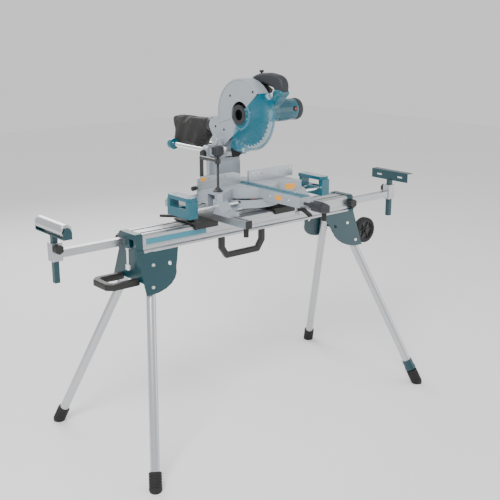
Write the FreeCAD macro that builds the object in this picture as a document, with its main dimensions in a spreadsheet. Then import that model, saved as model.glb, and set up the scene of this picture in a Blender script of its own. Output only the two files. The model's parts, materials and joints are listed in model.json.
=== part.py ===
"""Sliding compound mitre saw bolted to its folding stand, as a parametric FreeCAD document.

World frame: millimetres, +X along the beam (operator's right), +Y to the rear, +Z up, origin on
the floor under the middle of the stand. Saw parts are drawn in the saw's own frame (blade plane
x = 0, fence face y = 0, underside of the feet z = 0) and placed on top of the two tool rails.
"""
import FreeCAD, Part
import math
import os
import re

import Sketcher
from FreeCAD import Placement, Rotation, Vector

doc = FreeCAD.newDocument("MitreSawOnStand")

# ---------------------------------------------------------------- driving dimensions
DIMENSIONS = {
    # stand
    "beam_length": 1090, "beam_low": 783, "beam_top": 852, "flange_half": 63, "body_half": 56,
    "cap_length": 30, "arm_side": 28, "arm_y": 27, "arm_z": 818, "arm_wall": 2.5, "channel_gap": 0.5,
    "plate_thick": 4, "lean_angle": 22.5, "splay_angle": 14.5, "bracket_drop": 157,
    "pivot_inset": 57, "pivot_drop": 50, "leg_radius": 17.5, "leg_wall": 2, "foot_radius": 24,
    "bolt_radius": 5, "bolt_head": 8, "wheel_x": 640, "wheel_y": 72, "wheel_z": 684,
    "wheel_radius": 58, "wheel_width": 32, "block_inner": 835, "block_outer": 876, "post_x": 858,
    "post_side": 20, "block_low": 794, "block_high": 861, "post_low": 712, "knob_radius": 19,
    "rail_top": 890, "rail_side": 30, "rail_x": 206, "rail_half": 262, "saw_y": 12,
    # saw base
    "table_top": 80, "turntable_radius": 136, "ring_radius": 150, "foot_x": 206,
    "foot_front": 165, "foot_rear": 158, "foot_hole": 4.5, "sub_rod_z": 30, "sub_rod_radius": 6,
    "sub_rod_front": 100, "sub_rod_rear": 30, "sub_outer": 372, "sub_inner": 324,
    "fence_height": 45, "fence_thick": 8, "vise_x": -192, "vise_y": -71, "vise_post_y": 34,
    # turntable arm, bevel frame and head
    "arm_half": 29, "arm_tip": -359, "kerf_half": 5, "board_thick": 3, "bevel_pin": 12,
    "slide_rod_x": 62, "slide_rod_z": 200, "slide_rod_radius": 10, "upper_rod_radius": 7,
    "upper_rod_z": 234, "slide_rod_rear": 415, "pivot_y": 110, "pivot_z": 246, "pivot_pin": 9,
    "blade_y": -22, "blade_z": 361, "blade_radius": 130, "case_radius": 142, "guard_radius": 149.5,
    "motor_y": -62, "motor_z": 371, "motor_radius": 43, "spindle_radius": 9, "handle_low": 18,
    "handle_high": 58, "stem_length": 9, "running_gap": 0.06, "clear_gap": 0.5,
}
sheet = doc.addObject("Spreadsheet::Sheet", "Dimensions")
for row, (alias, size) in enumerate(DIMENSIONS.items(), start=1):
    sheet.set(f"A{row}", alias)
    sheet.set(f"B{row}", str(size))
    sheet.setAlias(f"B{row}", alias)
doc.recompute()

nodes = []


# ---------------------------------------------------------------- expression-driven primitives
def ref(expression):
    """The expression with every dimension's name pointing at the sheet."""
    def to_cell(match):
        word = match.group(0)
        return "Dimensions." + word if word in DIMENSIONS else word
    return re.sub(r"[a-z_][a-z0-9_]*", to_cell, str(expression))


def number(expression):
    """The value of an expression of the sheet's dimensions."""
    return float(sheet.evalExpression(ref(expression)))


def tie(thing, **expressions):
    for path, expression in expressions.items():
        thing.setExpression(path.replace("__", "."), ref(expression))


def box(name, x, y, z):
    """A block between (low, high) pairs along each axis."""
    block = doc.addObject("Part::Box", name)
    for side, axis, (low, high) in (("Length", "x", x), ("Width", "y", y), ("Height", "z", z)):
        block.setExpression(side, ref(f"({high}) - ({low})"))
        block.setExpression(f"Placement.Base.{axis}", ref(low))
    return block


AXES = {"x": Vector(1, 0, 0), "y": Vector(0, 1, 0), "z": Vector(0, 0, 1)}


def rod(name, axis, at, radius, length):
    """A round bar from the point at, along a positive axis."""
    bar = doc.addObject("Part::Cylinder", name)
    bar.Placement.Rotation = Rotation(AXES["z"], AXES[axis])
    tie(bar, Radius=radius, Height=length)
    tie(bar, Placement__Base__x=at[0], Placement__Base__y=at[1], Placement__Base__z=at[2])
    return bar


def prism(name, plane, points, low, high, holes=()):
    """A PartDesign pad of a closed outline lying in the plane XY, XZ or YZ, from low to high."""
    body = doc.addObject("PartDesign::Body", name)
    sketch = body.newObject("Sketcher::SketchObject", name + "_outline")
    origin_plane = [f for f in body.Origin.OriginFeatures if f.Role == plane + "_Plane"][0]
    sketch.AttachmentSupport = [(origin_plane, "")]
    sketch.MapMode = "FlatFace"
    corners = [Vector(number(u), number(v), 0) for u, v in points]
    count = len(corners)
    for i in range(count):
        sketch.addGeometry(Part.LineSegment(corners[i], corners[(i + 1) % count]), False)
    for i in range(count):
        sketch.addConstraint(Sketcher.Constraint("Coincident", i, 2, (i + 1) % count, 1))
    for i, (u, v) in enumerate(points):
        place_point(sketch, i, 1, u, v)
    for u, v, radius in holes:
        centre = Vector(number(u), number(v), 0)
        circle = sketch.addGeometry(Part.Circle(centre, AXES["z"], number(radius)), False)
        index = sketch.addConstraint(Sketcher.Constraint("Radius", circle, number(radius)))
        sketch.setExpression(f"Constraints[{index}]", ref(radius))
        place_point(sketch, circle, 3, u, v)
    start = f"-({high})" if plane == "XZ" else low
    sketch.setExpression("AttachmentOffset.Base.z", ref(start))
    pad = body.newObject("PartDesign::Pad", name + "_pad")
    pad.Profile = sketch
    pad.setExpression("Length", ref(f"({high}) - ({low})"))
    return body


def place_point(sketch, geometry, vertex, u, v):
    for kind, expression in (("DistanceX", u), ("DistanceY", v)):
        constraint = Sketcher.Constraint(kind, -1, 1, geometry, vertex, number(expression))
        index = sketch.addConstraint(constraint)
        sketch.setExpression(f"Constraints[{index}]", ref(expression))


def join(name, *parts):
    fused = doc.addObject("Part::MultiFuse", name)
    fused.Shapes = list(parts)
    return fused


def cut(name, base, *tools):
    result = doc.addObject("Part::Cut", name)
    result.Base = base
    result.Tool = tools[0] if len(tools) == 1 else join(name + "_tools", *tools)
    return result


def publish(thing, label):
    """Keep a finished part of the stand under its own name."""
    thing.Label = label
    nodes.append(thing)
    return thing


def publish_on_saw(thing, label):
    """Keep a finished part of the saw: drawn in the saw's frame, carried to the rails' top."""
    thing.setExpression("Placement.Base.y", ref("saw_y"))
    thing.setExpression("Placement.Base.z", ref("rail_top"))
    return publish(thing, label)


def mirrored(points):
    """An outline reflected in its first coordinate, for the other side of the object."""
    return [(f"-({u})", v) for u, v in reversed(points)]


# ---------------------------------------------------------------- stand: beam
def stand_beam():
    """Extruded beam: two T-slots on top, a recessed band in front, two channels for the arms."""
    half = [
        ("flange_half", "beam_low"), ("flange_half", "beam_low + 8"),
        ("body_half", "beam_low + 12"), ("body_half", "beam_low + 25"),
        ("body_half - 3", "beam_low + 25"), ("body_half - 3", "beam_low + 53"),
        ("body_half", "beam_low + 53"), ("body_half", "beam_top - 6"),
        ("body_half - 8", "beam_top"), ("arm_y + 6", "beam_top"), ("arm_y + 6", "beam_top - 4"),
        ("arm_y + 12", "beam_top - 4"), ("arm_y + 12", "beam_top - 13"),
        ("arm_y - 12", "beam_top - 13"), ("arm_y - 12", "beam_top - 4"),
        ("arm_y - 6", "beam_top - 4"), ("arm_y - 6", "beam_top"),
    ]
    other = [(f"-({u})", v) for u, v in reversed(half)]
    profile = prism("beam_profile", "YZ", half + other, "-beam_length / 2", "beam_length / 2")
    channels = []
    for side, sign in (("front", "-"), ("rear", "")):
        reach = "arm_side / 2 + channel_gap"
        channels.append(box(
            f"{side}_channel", ("-beam_length / 2", "beam_length / 2"),
            (f"{sign}arm_y - ({reach})", f"{sign}arm_y + {reach}"),
            (f"arm_z - ({reach})", f"arm_z + {reach}")))
    channels.append(box("lower_channel", ("-beam_length / 2", "beam_length / 2"),
                        (-44, 44), ("beam_low + 5", "beam_low + 16")))
    publish(cut("beam", profile, *channels), "stand_beam")


# ---------------------------------------------------------------- stand: leg brackets
LEAN = math.radians(number("lean_angle"))
SPLAY = math.radians(number("splay_angle"))


def slope_axes(side_x, side_y):
    """Unit vectors of a slanted side plate: inwards, up the slope and out of its face."""
    inward = Vector(-side_x, 0, 0)
    upward = Vector(0, -side_y * math.sin(LEAN), math.cos(LEAN))
    outward = Vector(0, side_y * math.cos(LEAN), math.sin(LEAN))
    return inward, upward, outward


def plate_point(side_x, side_y, inset, drop):
    """A point of a side plate's outer face, from its top outer corner."""
    inward, upward, _ = slope_axes(side_x, side_y)
    corner = Vector(side_x * number("beam_length / 2 + cap_length"),
                    side_y * number("flange_half"), number("beam_low"))
    return corner + inward * inset - upward * drop


def side_plate(side_x, side_y):
    """A folded sheet plate, its lower inner edge cut in a quadrant, with a slot for the lock."""
    name = f"side_plate_{'rear' if side_y > 0 else 'front'}_{'right' if side_x > 0 else 'left'}"
    outline = [(0, 6), (29.5, 6), (29.5, -0.6), (185, -0.6), (166, -50)]
    for step in range(7):
        turn = math.radians(15 * step)
        outline.append((f"{20 + 136 * math.cos(turn):.2f}",
                        f"-72 - (bracket_drop - 72) * {math.sin(turn):.4f}"))
    outline.append((0, "-bracket_drop"))
    faces_out = side_x * side_y > 0
    low, high = ("-plate_thick", 0) if faces_out else (0, "plate_thick")
    holes = [("pivot_inset", "-pivot_drop", "bolt_radius + running_gap"), (34, -131, 4.1),
             (132, -55, 8)]
    plate = prism(name, "XY", outline, low, high, holes)
    inward, upward, _ = slope_axes(side_x, side_y)
    turn = Rotation(inward, upward, inward.cross(upward), "ZXY")
    plate.Placement = Placement(plate_point(side_x, side_y, 0, 0), turn)
    return plate


def leg_bracket(side_x):
    """Teal sheet bracket: end cap round the beam, end plate below it and two slanted plates."""
    side = "right" if side_x > 0 else "left"
    inner = f"{side_x} * beam_length / 2"
    outer = f"{side_x} * (beam_length / 2 + cap_length)"
    low, high = (inner, outer) if side_x > 0 else (outer, inner)
    cap = [("flange_half + 1", "beam_low"), ("flange_half + 3", "beam_low + 9"),
           ("body_half + 3", "beam_low + 14"), ("body_half + 3", "beam_top - 4"),
           ("body_half - 6", "beam_top + 3")]
    cap_body = prism(f"cap_{side}", "YZ", cap + mirrored(cap), low, high)
    reach = "arm_side / 2 + channel_gap"
    windows = [box(f"cap_{side}_window_{place}", (f"{low} - 1", f"{high} + 1"),
                   (f"{sign}arm_y - ({reach})", f"{sign}arm_y + {reach}"),
                   (f"arm_z - ({reach})", f"arm_z + {reach}"))
               for place, sign in (("front", "-"), ("rear", ""))]
    widen = math.tan(LEAN)
    end = [("flange_half - 2", "beam_low + 2"),
           (f"flange_half - 2 + 106 * {widen:.4f}", "beam_low - 104")]
    plate_low, plate_high = (f"{outer} - plate_thick", outer)
    if side_x < 0:
        plate_low, plate_high = (outer, f"{outer} + plate_thick")
    end_plate = prism(f"end_plate_{side}", "YZ", end + mirrored(end), plate_low, plate_high)
    plates = [side_plate(side_x, side_y) for side_y in (-1, 1)]
    shell = join(f"bracket_shell_{side}", cap_body, end_plate, *plates)
    publish(cut(f"bracket_{side}", shell, *windows), f"leg_bracket_{side}")


def bolt_on(point, outward, name, shank):
    """A domed bolt through a slanted plate: head outside, shank and nut inside."""
    turn = Rotation(AXES["z"], outward)
    head = doc.addObject("Part::Cone", name + "_head")
    tie(head, Radius1="bolt_head", Radius2="bolt_head - 2.5", Height=5)
    head.Placement = Placement(point + outward * 0.02, turn)
    stem = doc.addObject("Part::Cylinder", name + "_stem")
    tie(stem, Radius="bolt_radius" if shank > 10 else "bolt_radius - 1", Height=shank + 1)
    stem.Placement = Placement(point - outward * shank, turn)
    return join(name, head, stem)


def leg_bolts():
    """Four leg pivots through plate and tube, and the four lock studs below them."""
    bolts = []
    through = number("plate_thick + 2 * leg_radius + 5")
    for side_x in (-1, 1):
        for side_y in (-1, 1):
            outward = slope_axes(side_x, side_y)[2]
            tag = f"{side_x + 1}{side_y + 1}"
            pivot = plate_point(side_x, side_y, number("pivot_inset"), number("pivot_drop"))
            bolts.append(bolt_on(pivot, outward, f"pivot_bolt_{tag}", through))
            stud = plate_point(side_x, side_y, 34, 131)
            bolts.append(bolt_on(stud, outward, f"lock_stud_{tag}", number("plate_thick")))
    publish(join("bolts", *bolts), "leg_bolts")


# ---------------------------------------------------------------- stand: legs
def leg_frame(side_x, side_y):
    """Placement of a leg: origin on its axis at the pivot, Z up the tube, Y along the bolt."""
    inward, upward, outward = slope_axes(side_x, side_y)
    pivot = plate_point(side_x, side_y, number("pivot_inset"), number("pivot_drop"))
    centre = pivot - outward * number("plate_thick + leg_radius + 1")
    up_tube = upward * math.cos(SPLAY) + inward * math.sin(SPLAY)
    return Placement(centre, Rotation(outward.cross(up_tube), outward, up_tube, "ZYX")), centre


def leg_length(centre):
    return centre.z / (math.cos(LEAN) * math.cos(SPLAY))


def leg(side_x, side_y):
    """Aluminium tube with a rubber foot; the front right one has a height-adjusting collar."""
    side = f"{'rear' if side_y > 0 else 'front'}_{'right' if side_x > 0 else 'left'}"
    adjustable = side == "front_right"
    frame, centre = leg_frame(side_x, side_y)
    length = leg_length(centre)
    foot_top = -length + 66
    tube_low = foot_top + (6 if adjustable else -2)
    tube = rod(f"tube_{side}", "z", (0, 0, tube_low), "leg_radius", 28 - tube_low)
    bore = rod(f"tube_bore_{side}", "z", (0, 0, tube_low + 40), "leg_radius - leg_wall", 800)
    hole = rod(f"pivot_hole_{side}", "y", (0, -30, 0), "bolt_radius + running_gap", 60)
    parts = [tube]
    tools = [bore, hole]
    if adjustable:
        parts.append(rod("collar", "z", (0, 0, tube_low), "leg_radius + 5", 48))
        tools.append(rod("collar_bore", "z", (0, 0, tube_low - 1), "8 + running_gap", 60))
    foot = rubber_foot(side, foot_top, adjustable)
    if not adjustable:
        parts.append(foot)
    solid = cut(f"leg_solid_{side}", join(f"leg_parts_{side}", *parts), *tools)
    solid.Placement = frame
    publish(above_floor(solid, f"leg_{side}"), f"leg_{side}")
    if adjustable:
        foot.Placement = frame
        publish(above_floor(foot, "foot_front_right"), "levelling_foot")


def rubber_foot(side, top, adjustable):
    barrel = rod(f"foot_barrel_{side}", "z", (0, 0, top - 56), "foot_radius", 56)
    tip = doc.addObject("Part::Cone", f"foot_tip_{side}")
    tie(tip, Radius1="foot_radius - 9", Radius2="foot_radius", Height=24)
    tip.Placement.Base = Vector(0, 0, top - 80)
    parts = [barrel, tip]
    if adjustable:
        parts.append(rod("foot_screw", "z", (0, 0, top - 1), 8, 46))
    return join(f"foot_{side}", *parts)


def above_floor(solid, name):
    """The solid trimmed flat where it stands on the floor."""
    floor = box(f"{name}_floor", (-1000, 1000), (-1000, 1000), (-100, 0))
    return cut(f"{name}_standing", solid, floor)


# ---------------------------------------------------------------- stand: handles and wheels
def carry_handle():
    """Black U-handle under the front of the beam."""
    outer = [(-183, "beam_low"), (-183, 734), (-152, 690), (20, 690), (51, 734),
             (51, "beam_low"), (27, "beam_low"), (27, 741), (9, 714), (-141, 714),
             (-159, 741), (-159, "beam_low")]
    publish(prism("front_handle", "XZ", outer, -62, -40), "carry_handle")


def end_handle():
    """Black U-handle lying flat on the left end plate."""
    face = "-(beam_length / 2 + cap_length)"
    outline = [(face, -80), (-686, -80), (-710, -56), (-710, 32), (-686, 56), (face, 56),
               (face, 30), (-674, 30), (-684, 20), (-684, -44), (-674, -54), (face, -54)]
    publish(prism("left_handle", "XY", outline, 668, 694), "end_handle")


def end_lock_lever():
    """Chrome crank on the left cap: shaft, bent lever and knurled end."""
    face = "-(beam_length / 2 + cap_length)"
    shaft = rod("lever_shaft", "x", (f"{face} - 24", -30, 802), 5, "24 - clear_gap")
    arm = rod("lever_arm", "z", (f"{face} - 19", -30, 742), 5, 64)
    grip = rod("lever_grip", "z", (f"{face} - 19", -30, 722), 9.5, 22)
    publish(join("crank", shaft, arm, grip), "end_lock_lever")


def wheels():
    """Two transport wheels on plates bolted to the right end."""
    face = "beam_length / 2 + cap_length"
    plates = []
    for side, sign in (("front", -1), ("rear", 1)):
        near, far = "wheel_y - wheel_width / 2 - 8", "wheel_y - wheel_width / 2 - 3"
        span = (f"-({far})", f"-({near})") if sign < 0 else (near, far)
        outline = [(face, "wheel_z + 34"), (face, "wheel_z - 20"), ("wheel_x", "wheel_z - 14"),
                   ("wheel_x + 12", "wheel_z - 6"), ("wheel_x + 12", "wheel_z + 8"),
                   ("wheel_x", "wheel_z + 16")]
        plates.append(prism(f"wheel_plate_{side}", "XZ", outline, *span))
        start = "-(wheel_y + wheel_width / 2 + 1)" if sign < 0 else near
        plates.append(rod(f"axle_{side}", "y", ("wheel_x", start, "wheel_z"), 6,
                          "wheel_width + 9"))
        head = f"{sign} * (wheel_y + wheel_width / 2 + 3.5) - 2.5"
        plates.append(rod(f"axle_head_{side}", "y", ("wheel_x", head, "wheel_z"), 11, 5))
        low = f"{sign} * wheel_y - wheel_width / 2"
        tyre = rod(f"wheel_solid_{side}", "y", ("wheel_x", low, "wheel_z"), "wheel_radius",
                   "wheel_width")
        recess = []
        for face_y in (f"{low} - 1", f"{low} + wheel_width - 7"):
            ring = rod(f"recess_{side}_{len(recess)}", "y", ("wheel_x", face_y, "wheel_z"), 42, 8)
            boss = rod(f"boss_{side}_{len(recess)}", "y", ("wheel_x", face_y, "wheel_z"), 15, 8)
            recess.append(cut(f"dish_{side}_{len(recess)}", ring, boss))
        bore = rod(f"wheel_bore_{side}", "y", ("wheel_x", f"{low} - 1", "wheel_z"),
                   "6 + running_gap", "wheel_width + 2")
        publish(cut(f"wheel_{side}_turned", tyre, bore, *recess), f"wheel_{side}")
    publish(join("wheel_carriers", *plates), "wheel_brackets")


# ---------------------------------------------------------------- stand: extension arms
def lobed_knob(name, axis, at, radius, length, towards):
    """A round knob with six finger hollows, on a threaded stem that points the other way."""
    grip = rod(f"{name}_grip", axis, at, radius, length)
    hollows = []
    for lobe in range(6):
        angle = math.radians(60 * lobe)
        across, up = f"({radius} + 3) * {math.cos(angle):.4f}", f"({radius} + 3) * {math.sin(angle):.4f}"
        spot = {"y": (f"{at[0]} + {across}", f"{at[1]} - 1", f"{at[2]} + {up}"),
                "x": (f"{at[0]} - 1", f"{at[1]} + {across}", f"{at[2]} + {up}")}[axis]
        hollows.append(rod(f"{name}_hollow_{lobe}", axis, spot, 5, length + 2))
    stem_at = list(at)
    place = {"x": 0, "y": 1}[axis]
    stem_at[place] = f"{at[place]} + {length} - 1" if towards > 0 else \
        f"{at[place]} + 1 - stem_length"
    stem = rod(f"{name}_stem", axis, stem_at, 4, "stem_length")
    return join(f"{name}_knob", cut(f"{name}_lobes", grip, *hollows), stem)


def extension_arm(side_x):
    """Square tube sliding in the beam, with the clamp block for its post on the outer end."""
    side = "right" if side_x > 0 else "left"
    y = "-arm_y" if side_x > 0 else "arm_y"
    reach, wall = "arm_side / 2", "arm_side / 2 - arm_wall"

    def along(low, high):
        return (low, high) if side_x > 0 else (f"-({high})", f"-({low})")

    tube = box(f"tube_{side}", along(50, "block_inner + 6"), (f"{y} - {reach}", f"{y} + {reach}"),
               (f"arm_z - {reach}", f"arm_z + {reach}"))
    bore = box(f"tube_inside_{side}", along(49, "block_inner"),
               (f"{y} - ({wall})", f"{y} + {wall}"), (f"arm_z - ({wall})", f"arm_z + {wall}"))
    block = box(f"block_{side}", along("block_inner", "block_outer"), (f"{y} - 18", f"{y} + 18"),
                ("block_low", "block_high"))
    fit = "post_side / 2 + 0.3"
    passage = box(f"block_passage_{side}", along(f"post_x - ({fit})", f"post_x + {fit}"),
                  (f"{y} - ({fit})", f"{y} + {fit}"), ("block_low - 1", "block_high + 1"))
    hole_y = f"{y} - 19" if side_x < 0 else f"{y} + 9"
    hole = rod(f"post_screw_hole_{side}", "y", (f"{side_x} * post_x", hole_y, "block_high - 20"),
               4.2, 10)
    publish(cut(f"arm_cut_{side}", join(f"arm_join_{side}", tube, block), bore, passage, hole),
            f"arm_{side}")
    knob_y = f"{y} - 18 - 22" if side_x < 0 else f"{y} + 18"
    post_knob = lobed_knob(f"post_{side}", "y",
                           (f"{side_x} * post_x", knob_y, "block_high - 20"), "knob_radius - 2",
                           21.5, 1 if side_x < 0 else -1)
    if side_x > 0:
        post_knob.setExpression("Placement.Base.y", ref("clear_gap"))
    publish(post_knob, f"post_knob_{side}")
    cap_y = "-(body_half + 3) - 22.5" if side_x > 0 else "body_half + 3 + clear_gap"
    arm_knob = cut(f"arm_knob_head_{side}",
                   lobed_knob(f"arm_{side}", "y", (f"{side_x} * (beam_length / 2 + 15)", cap_y,
                                                   "arm_z"), "knob_radius", 22, 1),
                   box(f"arm_knob_trim_{side}", (-700, 700), ("-body_half - 3 - clear_gap",
                                                             "body_half + 3 + clear_gap"),
                       (700, 900)),
                   box(f"arm_knob_over_{side}", (-700, 700), ("body_half + 25.5", 200),
                       (700, 900)))
    publish(arm_knob, f"arm_knob_{side}")


def roller_post():
    """Square post with the cradle and its steel roller, on the left arm."""
    post = box("left_post", ("-post_x - post_side / 2", "-post_x + post_side / 2"),
               ("arm_y - post_side / 2", "arm_y + post_side / 2"), ("post_low", 892))
    strip = box("cradle_strip", ("-post_x - 17", "-post_x + 17"), ("arm_y - 106", "arm_y + 106"),
                (890, 894))
    cheeks = []
    for place, low in (("front", "arm_y - 106"), ("rear", "arm_y + 102")):
        outline = [("-post_x - 17", 890), ("-post_x + 17", 890), ("-post_x + 17", 914),
                   ("-post_x + 9", 930), ("-post_x - 9", 930), ("-post_x - 17", 914)]
        cheeks.append(prism(f"cheek_{place}", "XZ", outline, low, f"{low} + 4"))
    axle = rod("roller_axle", "y", ("-post_x", "arm_y - 104", 920), 5, 208)
    publish(join("cradle", post, strip, *cheeks, axle), "roller_post")
    sleeve = rod("roller_sleeve", "y", ("-post_x", "arm_y - 98", 920), 22.5, 196)
    bore = rod("roller_bore", "y", ("-post_x", "arm_y - 99", 920), "5 + running_gap", 198)
    publish(cut("roller_turned", sleeve, bore), "roller")


def stop_post():
    """Square post with a slotted angle plate, on the right arm."""
    post = box("right_post", ("post_x - post_side / 2", "post_x + post_side / 2"),
               ("-arm_y - post_side / 2", "-arm_y + post_side / 2"), ("post_low", 886))
    face = box("stop_face", ("post_x - 4", "post_x"), ("-arm_y - 108", "-arm_y + 108"), (883, 926))
    flange = box("stop_flange", ("post_x - 4", "post_x + 30"), ("-arm_y - 108", "-arm_y + 108"),
                 (922, 926))
    slots = []
    for place, y in (("front", "-arm_y - 62"), ("rear", "-arm_y + 62")):
        slots.append(box(f"stop_slot_{place}", ("post_x - 5", "post_x + 1"),
                         (f"{y} - 12", f"{y} + 12"), (899, 907)))
        for end in (-12, 12):
            slots.append(rod(f"stop_slot_{place}_{end + 12}", "x",
                             ("post_x - 5", f"{y} + {end}", 903), 4, 6))
    publish(cut("stop_plate", join("stop_parts", post, face, flange), *slots), "stop_post")


# ---------------------------------------------------------------- tool mounts
def tool_mounts():
    """Two cross rails on carriages that clamp to the beam, with cam levers and rubber feet."""
    half, slot = "rail_side / 2", 4.5
    profile = [(half, f"rail_top - rail_side"), (half, "rail_top"), (slot, "rail_top"),
               (slot, "rail_top - 6"), (8.3, "rail_top - 6"), (8.3, "rail_top - 14"),
               (-8.3, "rail_top - 14"), (-8.3, "rail_top - 6"), (-slot, "rail_top - 6"),
               (-slot, "rail_top"), (f"-{half}", "rail_top"), (f"-{half}", "rail_top - rail_side")]
    rails, plates, feet, bolts = [], [], [], []
    for side, sign in (("left", -1), ("right", 1)):
        x = f"{sign} * rail_x"
        outline = [(f"{x} + {u}", v) for u, v in profile]
        rails.append(prism(f"rail_{side}", "XZ", outline, "-rail_half", "rail_half"))
        deck = box(f"carriage_deck_{side}", (f"{x} - 112", f"{x} + 16"), (-66, 66),
                   ("beam_top + clear_gap", "rail_top - rail_side"))
        jaws = [box(f"carriage_jaw_{side}_{place}", (f"{x} - 104", f"{x} + 8"), span,
                    ("beam_top - 18", "beam_top + 2"))
                for place, span in (("front", (-66, "-body_half - clear_gap")),
                                    ("rear", ("body_half + clear_gap", 66)))]
        pin = rod(f"cam_pin_{side}", "z", (f"{x} - 84", -9, "beam_top + 4"), 5, 31)
        plates.append(join(f"carriage_{side}", deck, *jaws, pin))
        hub = rod(f"cam_hub_{side}", "z", (f"{x} - 84", -9, "rail_top - rail_side + clear_gap"),
                  14, 22)
        lever = prism(f"cam_arm_{side}", "XY",
                      [(f"{x} - 92", -12), (f"{x} - 78", 2), (f"{x} - 165", 82),
                       (f"{x} - 173", 74)], 871, 880)
        bore = rod(f"cam_bore_{side}", "z", (f"{x} - 84", -9, 855), "5 + running_gap", 40)
        publish(cut(f"cam_{side}", join(f"cam_parts_{side}", hub, lever), bore),
                f"cam_lever_{side}")
        for place, y in (("front", -247), ("rear", 247)):
            feet.append(rod(f"rail_foot_{side}_{place}", "z", (x, y, "rail_top - rail_side - 35"),
                            10, 35))
        for place, y in (("front", "saw_y - foot_front"), ("rear", "saw_y + foot_rear")):
            name = f"mount_bolt_{side}_{place}"
            stem = rod(f"{name}_stem", "z", (x, y, "rail_top - 12"), 4, 30)
            head = rod(f"{name}_head", "z", (x, y, "rail_top + 15.02"), 7, 6)
            nut = box(f"{name}_nut", (f"{x} - 7.5", f"{x} + 7.5"), (f"{y} - 8", f"{y} + 8"),
                      ("rail_top - 12.5", "rail_top - 6.02"))
            bolts.append(join(name, stem, head, nut))
    publish(join("rails", *rails), "mount_rails")
    publish(join("carriages", *plates), "mount_carriages")
    publish(join("rail_feet", *feet), "rail_end_feet")
    publish(join("bolts_in_feet", *bolts), "mount_bolts")


# ---------------------------------------------------------------- saw: base casting
def saw_base():
    """Cast base: ring under the turntable, two pedestals pocketed between the rods, four bolted feet."""
    floor = rod("pan", "z", (0, 0, 5), "ring_radius", 8)
    wall = rod("ring_outer", "z", (0, 0, 5), "ring_radius", 33)
    inside = rod("ring_inner", "z", (0, 0, 4), "ring_radius - 9", 40)
    rear_gap = box("ring_rear_gap", (-160, 160), (10, 200), (3, 60))
    ring = cut("mitre_ring", wall, inside, rear_gap)
    boss = rod("centre_boss", "z", (0, 0, 5), 24, 34)
    parts = [floor, ring, boss]
    block = [(60, -60), (128, -73), (206, -118), (222, -106), (222, 28), (60, 28)]
    shelf = [(100, -96), (186, -140), (230, -120), (236, 60), (200, 130), (120, 120)]
    ramps = {
        "front": [(-187, 0), (-187, 13), (-181, 15), (-148, 15), (-118, 44), (-90, 56), (-90, 0)],
        "rear": [(176, 0), (176, 13), (170, 15), (140, 15), (96, 36), (24, 58), (24, 0)],
    }
    sweeps = []
    for side, sign in (("left", -1), ("right", 1)):
        def outline(points):
            return points if sign > 0 else mirrored(points)
        pedestal = prism(f"pedestal_{side}", "XY", outline(block), 5, "table_top")
        round_seat = rod(f"pedestal_seat_{side}", "z", (0, 0, 4), "turntable_radius + 1.5", 80)
        cavity_x = (168, 223) if sign > 0 else (-223, -168)
        cavity = box(f"cavity_{side}", cavity_x, (-88, -42), (20, 70))
        parts.append(cut(f"pedestal_body_{side}", pedestal, round_seat, cavity))
        parts.append(prism(f"shelf_{side}", "XY", outline(shelf), 5, 13))
        toe = (180, 232) if sign > 0 else (-232, -180)
        for place, ramp in ramps.items():
            parts.append(prism(f"toe_{side}_{place}", "YZ", ramp, *toe))
        for place, y in (("front", "-sub_rod_front"), ("rear", "-sub_rod_rear")):
            start = 50 if sign > 0 else -260
            sweeps.append(rod(f"rod_bore_{side}_{place}", "x", (start, y, "sub_rod_z"),
                              "sub_rod_radius + running_gap", 210))
        for place, y in (("front", "-foot_front"), ("rear", "foot_rear")):
            sweeps.append(rod(f"foot_hole_{side}_{place}", "z", (f"{sign} * foot_x", y, -1),
                              "foot_hole", 40))
    sweeps.append(rod("pivot_bore", "z", (0, 0, 0), "10 + running_gap", 60))
    sweeps.append(rod("vise_bore", "z", ("vise_x", "vise_post_y", 30), "8 + 0.1", 60))
    casting = join("base_parts", *parts, rod("vise_socket", "z", ("vise_x", "vise_post_y", 20),
                                             15, 60))
    publish_on_saw(cut("base_casting", casting, *sweeps), "saw_base")


def fences():
    """Fixed fence halves, and the sub-fence that slides out on the left one."""
    left = box("fence_low_left", (-234, -20), (0, "fence_thick"),
               ("table_top + 0.4", "table_top + 27"))
    left_foot = box("fence_foot_left", (-232, -140), ("fence_thick", 24),
                    ("table_top", "table_top + 13.5"))
    screw_hole = rod("fence_screw_hole", "x", (-233, 16, "table_top + 4.2"), 4.1, 20)
    publish_on_saw(cut("fence_left_cast", join("fence_left_join", left, left_foot), screw_hole),
                   "fence_left")
    right = box("fence_plate_right", (23, 268), (0, "fence_thick"),
                ("table_top + 0.4", "table_top + fence_height"))
    right_foot = box("fence_foot_right", (140, 214), ("fence_thick", 24),
                     ("table_top", "table_top + 10"))
    holes = [rod(f"fence_hole_{x}", "y", (x, -1, "table_top + 26"), 3, 20) for x in (95, 195)]
    publish_on_saw(cut("fence_right_cast", join("fence_right_join", right, right_foot), *holes),
                   "fence_right")
    outline = [(-234, "table_top + 27.4"), (-24, "table_top + 27.4"),
               (-24, "table_top + fence_height - 4"), (-60, "table_top + 51"),
               (-226, "table_top + 51"), (-234, "table_top + 44")]
    upper = prism("sub_fence_plate", "XZ", outline, 0, "fence_thick")
    guide = box("sub_fence_guide", (-232, -60), ("fence_thick + 0.4", 14),
                ("table_top + 14", "table_top + 40"))
    bridge = box("sub_fence_bridge", (-232, -60), ("fence_thick - 1", 14),
                 ("table_top + 30", "table_top + 40"))
    sub_holes = [rod(f"sub_fence_hole_{-x}", "y", (x, -1, "table_top + 39"), 3, 20)
                 for x in (-185, -105)]
    publish_on_saw(cut("sub_fence_cast", join("sub_fence_join", upper, guide, bridge),
                       *sub_holes), "sub_fence")
    publish_on_saw(lobed_knob("sub_fence_screw", "x", (-254, 16, "table_top + 4.2"), 9, 18, 1),
                   "sub_fence_knob")


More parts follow.
